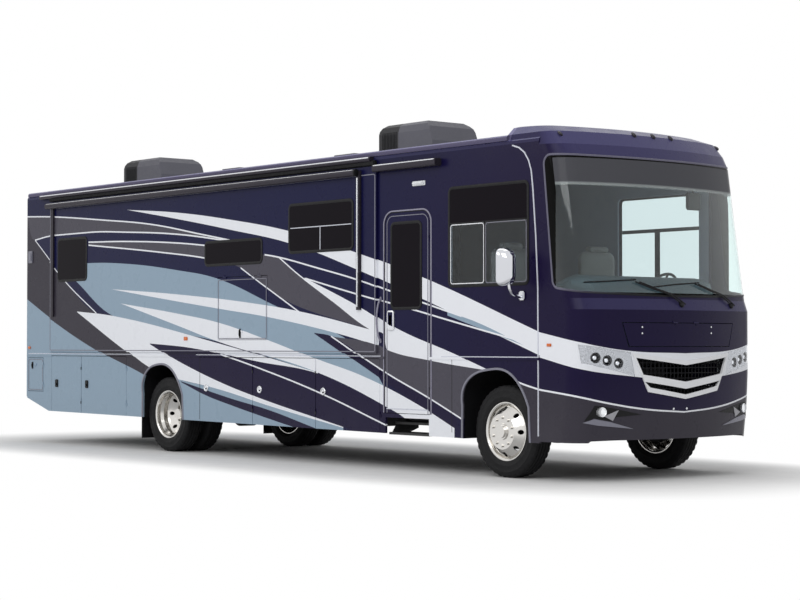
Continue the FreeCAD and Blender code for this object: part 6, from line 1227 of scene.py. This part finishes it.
brow, ambers, reds = bmesh.new(), bmesh.new(), bmesh.new()
for low, high in solids("marker_lamps"):
    middle = (low + high) / 2
    if middle.z > BROW_FOOT:
        wedge_lamp(brow, middle.y, high.z - BROW_LAMP_DROP)
    elif low.x > 0:
        block(ambers, low, high, 0.002)
        wall_block(ambers, low.x + 0.002, high.x - 0.002, low.z + 0.002, high.z - 0.002, 0.014, 0.001, 0.006,
                   side=1 if middle.y > 0 else -1)
    else:
        block(reds, (low.x - 0.008, low.y, low.z), high, 0.012)
        for share in RED_BAR_SHARES:
            z = low.z + (high.z - low.z) * share
            block(reds, (low.x - 0.012, low.y + 0.006, z - 0.004), (low.x, high.y - 0.006, z + 0.004),
                  0.003)
for name, builder in (("brow_lamps", brow), ("side_markers", ambers), ("tail_lamps", reds)):
    place(name, builder, "amber_lens", stands_for="marker_lamps")


# Mirrors: sections as (along, inset, corner), spans as inner, outer, foot and head, and the arm's path

MIRROR_SECTIONS = ((0.000, 0.020, 0.06), (0.006, 0.004, 0.07), (0.030, 0.000, 0.075), (0.070, 0.006, 0.085),
                   (0.100, 0.020, 0.095), (0.125, 0.040, 0.10), (0.140, 0.062, 0.09), (0.147, 0.085, 0.06))
FACE_SECTIONS = ((0.002, 0.0, 0.05), (-0.0015, 0.002, 0.05), (-0.002, 0.010, 0.05))
MIRROR_BACK = 4.606
MIRROR_ARM = ((4.69, 1.512, 1.97), (4.69, 1.500, 1.905), (4.665, 1.45, 1.86), (4.650, 1.36, 1.826),
              (4.648, 1.292, 1.822))
CORNER_SHARE = 0.4
HEAD_SPAN = (1.408, 1.616, 1.925, 2.310)
FACE_SPAN = (1.428, 1.596, 1.945, 2.290)
ARM_ROOT = (4.610, 4.690, 1.790, 1.880, 1.312, 1.2835, 0.012, 0.0)
ARM_RADIUS = 0.017


def mirror_shell(builder, side, inner, outer, foot, head, sections):
    """A rounded shell through sections that step along X."""
    low_y, high_y = sorted((side * inner, side * outer))
    rows = []
    for along, inset, corner in sections:
        loop = inset_loop((low_y, foot), (high_y, head), inset, corner - inset * CORNER_SHARE, 7)
        rows.append([Vector((MIRROR_BACK + along, y, z)) for y, z in loop])
    bridge(builder, rows, (0, -1))


for side, side_name in SIDES:
    builder = bmesh.new()
    mirror_shell(builder, side, *HEAD_SPAN, MIRROR_SECTIONS)
    pipe(builder, [(x, side * y, z) for x, y, z in MIRROR_ARM], ARM_RADIUS, 14)
    wall_block(builder, *ARM_ROOT, side)
    place("mirror_" + side_name, builder, "mirror_chrome", stands_for="mirrors")
    builder = bmesh.new()
    mirror_shell(builder, side, *FACE_SPAN, FACE_SECTIONS)
    place("mirror_face_" + side_name, builder, "mirror_chrome", finish="mirror_face")


# Wipers: pivot, then blade and arm as (y, z) lines on the glass

WIPERS = (
    (-0.040, ((-1.17, 1.951), (-0.88, 1.966), (-0.60, 1.985)),
     ((-0.62, 1.962), (-0.40, 1.892), (-0.20, 1.842))),
    (0.800, ((-0.43, 1.911), (-0.10, 1.945), (0.27, 1.970)),
     ((0.20, 1.952), (0.42, 1.892), (0.62, 1.846))),
)
PIVOT_HEIGHT = 1.745
PIVOT_AXIS = (0.9, 0.0, 0.45)
PIVOT_CAP = ((0.030, -0.012), (0.030, 0.012), (0.022, 0.022), (0.001, 0.024))
BLADE_BARS = ((0.016, 0.007), (0.006, 0.005))
ARM_SHIFTS = (0.0, 0.05)
ARM_RISE = 0.028
ARM_BAR = 0.007
ARM_FOOT = (0.018, 0.8, 0.004)


def glass_line(points, steps, rise):
    """Places on the windshield in even steps along a line of (y, z) points."""
    spots = []
    for first, second in zip(points[:-1], points[1:]):
        for share in shares(steps)[:-1]:
            spots.append([a + (b - a) * share for a, b in zip(first, second)])
    return [nose_at(y, z, rise, GLASS_SKIN)[0] for y, z in spots + [points[-1]]]


for order, (pivot, blade, arm) in enumerate(WIPERS):
    builder = bmesh.new()
    foot = nose_at(pivot, PIVOT_HEIGHT, 0.004)[0]
    turned(builder, foot, PIVOT_AXIS, PIVOT_CAP, 20)
    for rise, radius in BLADE_BARS:
        pipe(builder, glass_line(blade, 8, rise), radius, 8)
    for shift in ARM_SHIFTS:
        path = glass_line([(y + shift, z) for y, z in arm], 5, ARM_RISE)
        pipe(builder, path + [foot + Vector(ARM_FOOT) * Vector((1, shift, 1))], ARM_BAR, 8)
    place("wiper_%d" % (order + 1), builder, "matte_black", finish="black_trim", stands_for="wipers")


# Dashboard, as (x, z) points of a section that follows the glass, and sun visor

DASH_SECTION = ((4.870, 1.60), (4.868, 1.76), (4.880, 1.94), (4.915, 2.015), (4.98, 2.045), (5.08, 2.030),
                (5.20, 1.970), (5.32, 1.880), (5.400, 1.790), (5.403, 1.60), (5.30, 1.44), (4.90, 1.44))
DASH_HALF = 1.175
DASH_SHOULDER = 1.75
DASH_TO_GLASS = 0.16
DASH_STEPS = 16
DASH_EASE = (8, 0.35)
DASH_CURL = (0.25, 4)
DASH_BASE = ((4.76, -1.10, 1.218), (4.95, 1.10, 1.62))
COLUMN_PATH = ((4.90, 0.64, 1.77), (4.82, 0.64, 1.825), (4.735, 0.64, 1.885))
COLUMN_RADIUS = 0.035
builder = bmesh.new()
rows = []
for share in shares(DASH_STEPS):
    y = DASH_HALF * (2 * share - 1)
    ease = min(1.0, DASH_EASE[0] * min(share, 1 - share) + DASH_EASE[1])
    limit = cap_x(y) - DASH_TO_GLASS - DASH_CURL[0] * abs(y) ** DASH_CURL[1]
    rows.append([Vector((min(x, limit), y, z + (z - DASH_SHOULDER) * (ease - 1) * (z > DASH_SHOULDER)))
                 for x, z in DASH_SECTION])
bridge(builder, rows, (0, -1))
block(builder, *DASH_BASE, 0.02)
pipe(builder, COLUMN_PATH, COLUMN_RADIUS, 14)
place("dash_panel", builder, "dash_plastic", stands_for="dashboard")

VISOR_SPOT = (0.48, 2.83, -0.085)
VISOR_HALF = Vector((0.02, 0.105, 0.090))
VISOR_ROD = (Vector((0, 0, 0.08)), Vector((-0.05, 0, 0.30)), Vector((-0.16, 0, 0.42)))
builder = bmesh.new()
spot = nose_at(*VISOR_SPOT, GLASS_SKIN)[0]
block(builder, spot - VISOR_HALF, spot + VISOR_HALF, 0.014)
pipe(builder, [spot + step for step in VISOR_ROD], 0.010)
place("sun_visor", builder, "wheel_leather")


# Seats: name, x, z, half sizes, crown, corner, whether it stands upright, and fill

SEAT_PADS = (
    ("seat_cushion", 4.040, 1.610, (0.265, 0.255, 0.060), 0.022, 0.055, False, 0.85),
    ("seat_back", 3.775, 1.985, (0.262, 0.380, 0.058), 0.016, 0.08, True, 0.85),
    ("head_rest", 3.785, 2.385, (0.150, 0.034, 0.045), 0.010, 0.03, True, 0.9),
)
SEAT_OUTSET = 0.64
SEAT_STAND = ((0.165, 0.0), (0.165, 0.03), (0.15, 0.04), (0.095, 0.06), (0.09, 0.24), (0.13, 0.29),
              (0.17, 0.30), (0.17, 0.325))
PAD_LEVELS = (-1.0, -0.82, -0.45, 0.0, 0.45, 0.82, 1.0)
CROWN_SHARES = (0.75, 0.5, 0.25, 0.06)
PULL_SHARE = 0.035
STAND_X, STAND_FOOT = 4.038, 1.217


def pad(builder, centre, half, crown, corner, upright):
    """A closed cushion: crowned faces, sides that pull in between the corners."""
    rings = []
    for level in PAD_LEVELS:
        swell = math.sqrt(max(0.0, 1 - abs(level) ** 3)) if abs(level) < 1 else 0.0
        inset = (1 - swell) * corner
        loop = rounded_loop((-half[0] + inset, -half[1] + inset), (half[0] - inset, half[1] - inset),
                            max(corner * 1.3 - inset * 0.5, 0.02), 6)
        row = []
        for a, b in loop:
            to_corner = min(1.0, abs(a / half[0]) * abs(b / half[1]) * 1.3)
            pull = 1 - PULL_SHARE * (1 - to_corner) * (1 - abs(level))
            row.append((a * pull, b * pull, level * half[2]))
        rings.append(row)
    for sign in (-1, 1):
        rim = rings[0] if sign < 0 else rings[-1]
        inner = [[(a * share, b * share, sign * (half[2] + crown * (1 - share ** 2))) for a, b, _ in rim]
                 for share in CROWN_SHARES]
        rings = inner[::-1] + rings if sign < 0 else rings + inner
    spots = [[Vector((c, a, b) if upright else (b, a, c)) for a, b, c in row] for row in rings]
    bridge(builder, [[Vector(centre) + spot for spot in row] for row in spots], (0, -1))


for side, side_name in SIDES:
    middle = side * SEAT_OUTSET
    for name, x, z, half, crown, corner, upright, fill in SEAT_PADS:
        builder = bmesh.new()
        pad(builder, (x, middle, z), half, crown, corner, upright)
        piece = place("%s_%s" % (name, side_name), builder, "seat_leather", stands_for="cab_seats")
    builder = bmesh.new()
    turned(builder, (STAND_X, middle, STAND_FOOT), (0, 0, 1), SEAT_STAND, 40, (0, -1))
    place("seat_stand_" + side_name, builder, "matte_black", finish="black_trim", stands_for="cab_seats")


# Roof units' louvres and the roof's lips

COOLER_SKIN = skin("air_conditioners")
COOLER_HEAD = 3.8
LOUVRE_FOOT = 3.61
LOUVRE_STEPS = 7
LOOK_SIDE, LOOK_END = 0.9, 0.5
SIDE_LOUVRES, SIDE_START, SIDE_PITCH, SIDE_RISE = 10, 0.070, 0.027, 0.032
END_LOUVRES, END_START, END_PITCH, END_RISE = 12, -0.255, 0.0464, 0.030
LIP_SECTION = ((1.284, 3.405), (1.290, 3.425), (1.286, 3.446), (1.268, 3.460), (1.235, 3.464), (1.16, 3.458),
               (1.16, 3.43), (1.24, 3.41))
LIP_SPAN = (REAR_X + 0.10, 4.42)


def louvre(builder, x, y, rise, aim):
    """A thin bar up a roof unit's skin, found by looking along aim."""
    spots = [COOLER_SKIN.ray_cast(Vector((x, y, LOUVRE_FOOT + step * rise)), Vector(aim))[0]
             for step in range(LOUVRE_STEPS)]
    pipe(builder, spots, 0.006, 6)


for order, (low, high) in enumerate(pair for pair in solids("air_conditioners") if pair[1].z > COOLER_HEAD):
    builder = bmesh.new()
    for count in range(SIDE_LOUVRES):
        for side in (-1, 1):
            louvre(builder, low.x + SIDE_START + count * SIDE_PITCH, side * LOOK_SIDE, SIDE_RISE,
                   (0, -side, 0))
    for count in range(END_LOUVRES):
        louvre(builder, low.x - LOOK_END, END_START + count * END_PITCH, END_RISE, (1, 0, 0))
    place("cooler_louvres_%d" % (order + 1), builder, "cooler_shroud", finish="black_trim")
for side, side_name in SIDES:
    builder = bmesh.new()
    bridge(builder, [[Vector((x, side * y, z)) for y, z in LIP_SECTION] for x in LIP_SPAN], (0, -1))
    place("roof_lip_" + side_name, builder, "roof_skin")


# Camera, floor and light

def link(name, data, spot, turn=(0.0, 0.0, 0.0)):
    """Puts an object in the scene; the turn is in degrees."""
    made = bpy.data.objects.new(name, data)
    made.location = spot
    made.rotation_euler = [math.radians(part) for part in turn]
    bpy.context.scene.collection.objects.link(made)
    return made


def sky():
    """White where it is seen, and dimmer as a light."""
    graph = Graph("studio", bpy.data.worlds)
    level = graph.remap(graph.seen(), (0.0, 1.0), SKY_LEVEL, 1.0)
    light = graph.node("Background", {0: (1, 1, 1, 1), 1: level})
    graph.node("OutputWorld", {0: light.outputs[0]})
    return graph.owner


def floor_finish():
    """A pale floor that keeps the shadow near the coach and turns white away from it."""
    graph = Graph("studio_floor")
    x, y, z = graph.axes()
    shares_out = (graph.calc("DIVIDE", graph.calc("ABSOLUTE", part), size)
                  for part, size in ((x, SHADOW_LENGTH), (y, SHADOW_WIDTH)))
    along, across = (graph.calc("POWER", share, SHADOW_POWER) for share in shares_out)
    away = graph.node("MapRange", {0: graph.calc("ADD", along, across), 1: SHADOW_FADE[0], 2: SHADOW_FADE[1]},
                      interpolation_type="SMOOTHSTEP").outputs[0]
    grain = graph.gloss(4.0, 0.80, 0.84)
    tint = graph.node("CombineColor", {0: grain, 1: grain, 2: grain}).outputs[0]
    matt = graph.node("BsdfDiffuse", {"Color": tint})
    white = graph.node("Emission", {"Color": (1, 1, 1, 1), "Strength": 1.0})
    share = graph.times(away, graph.seen())
    both = graph.node("MixShader", {0: share, 1: matt.outputs[0], 2: white.outputs[0]})
    graph.node("OutputMaterial", {"Surface": both.outputs[0]})
    return graph.owner


camera = bpy.data.cameras.new("camera")
camera.lens = CAMERA_LENS
camera.sensor_width = SENSOR
camera.clip_end = FAR_CLIP
bpy.context.scene.camera = link("camera", camera, CAMERA_PLACE, CAMERA_TURN)

builder = bmesh.new()
bmesh.ops.create_grid(builder, x_segments=1, y_segments=1, size=FLOOR_SIZE)
floor_mesh = bpy.data.meshes.new("floor")
builder.to_mesh(floor_mesh)
builder.free()
floor_mesh.materials.append(floor_finish())
link("floor", floor_mesh, (0.0, 0.0, -FLOOR_DROP))

for name, spot, turn, size, power in LAMPS:
    lamp = bpy.data.lights.new(name, "AREA")
    lamp.shape = "RECTANGLE"
    lamp.size, lamp.size_y = size
    lamp.energy = power
    link(name, lamp, spot, turn)

bpy.context.scene.world = sky()
bpy.context.scene.view_settings.view_transform = "Standard"
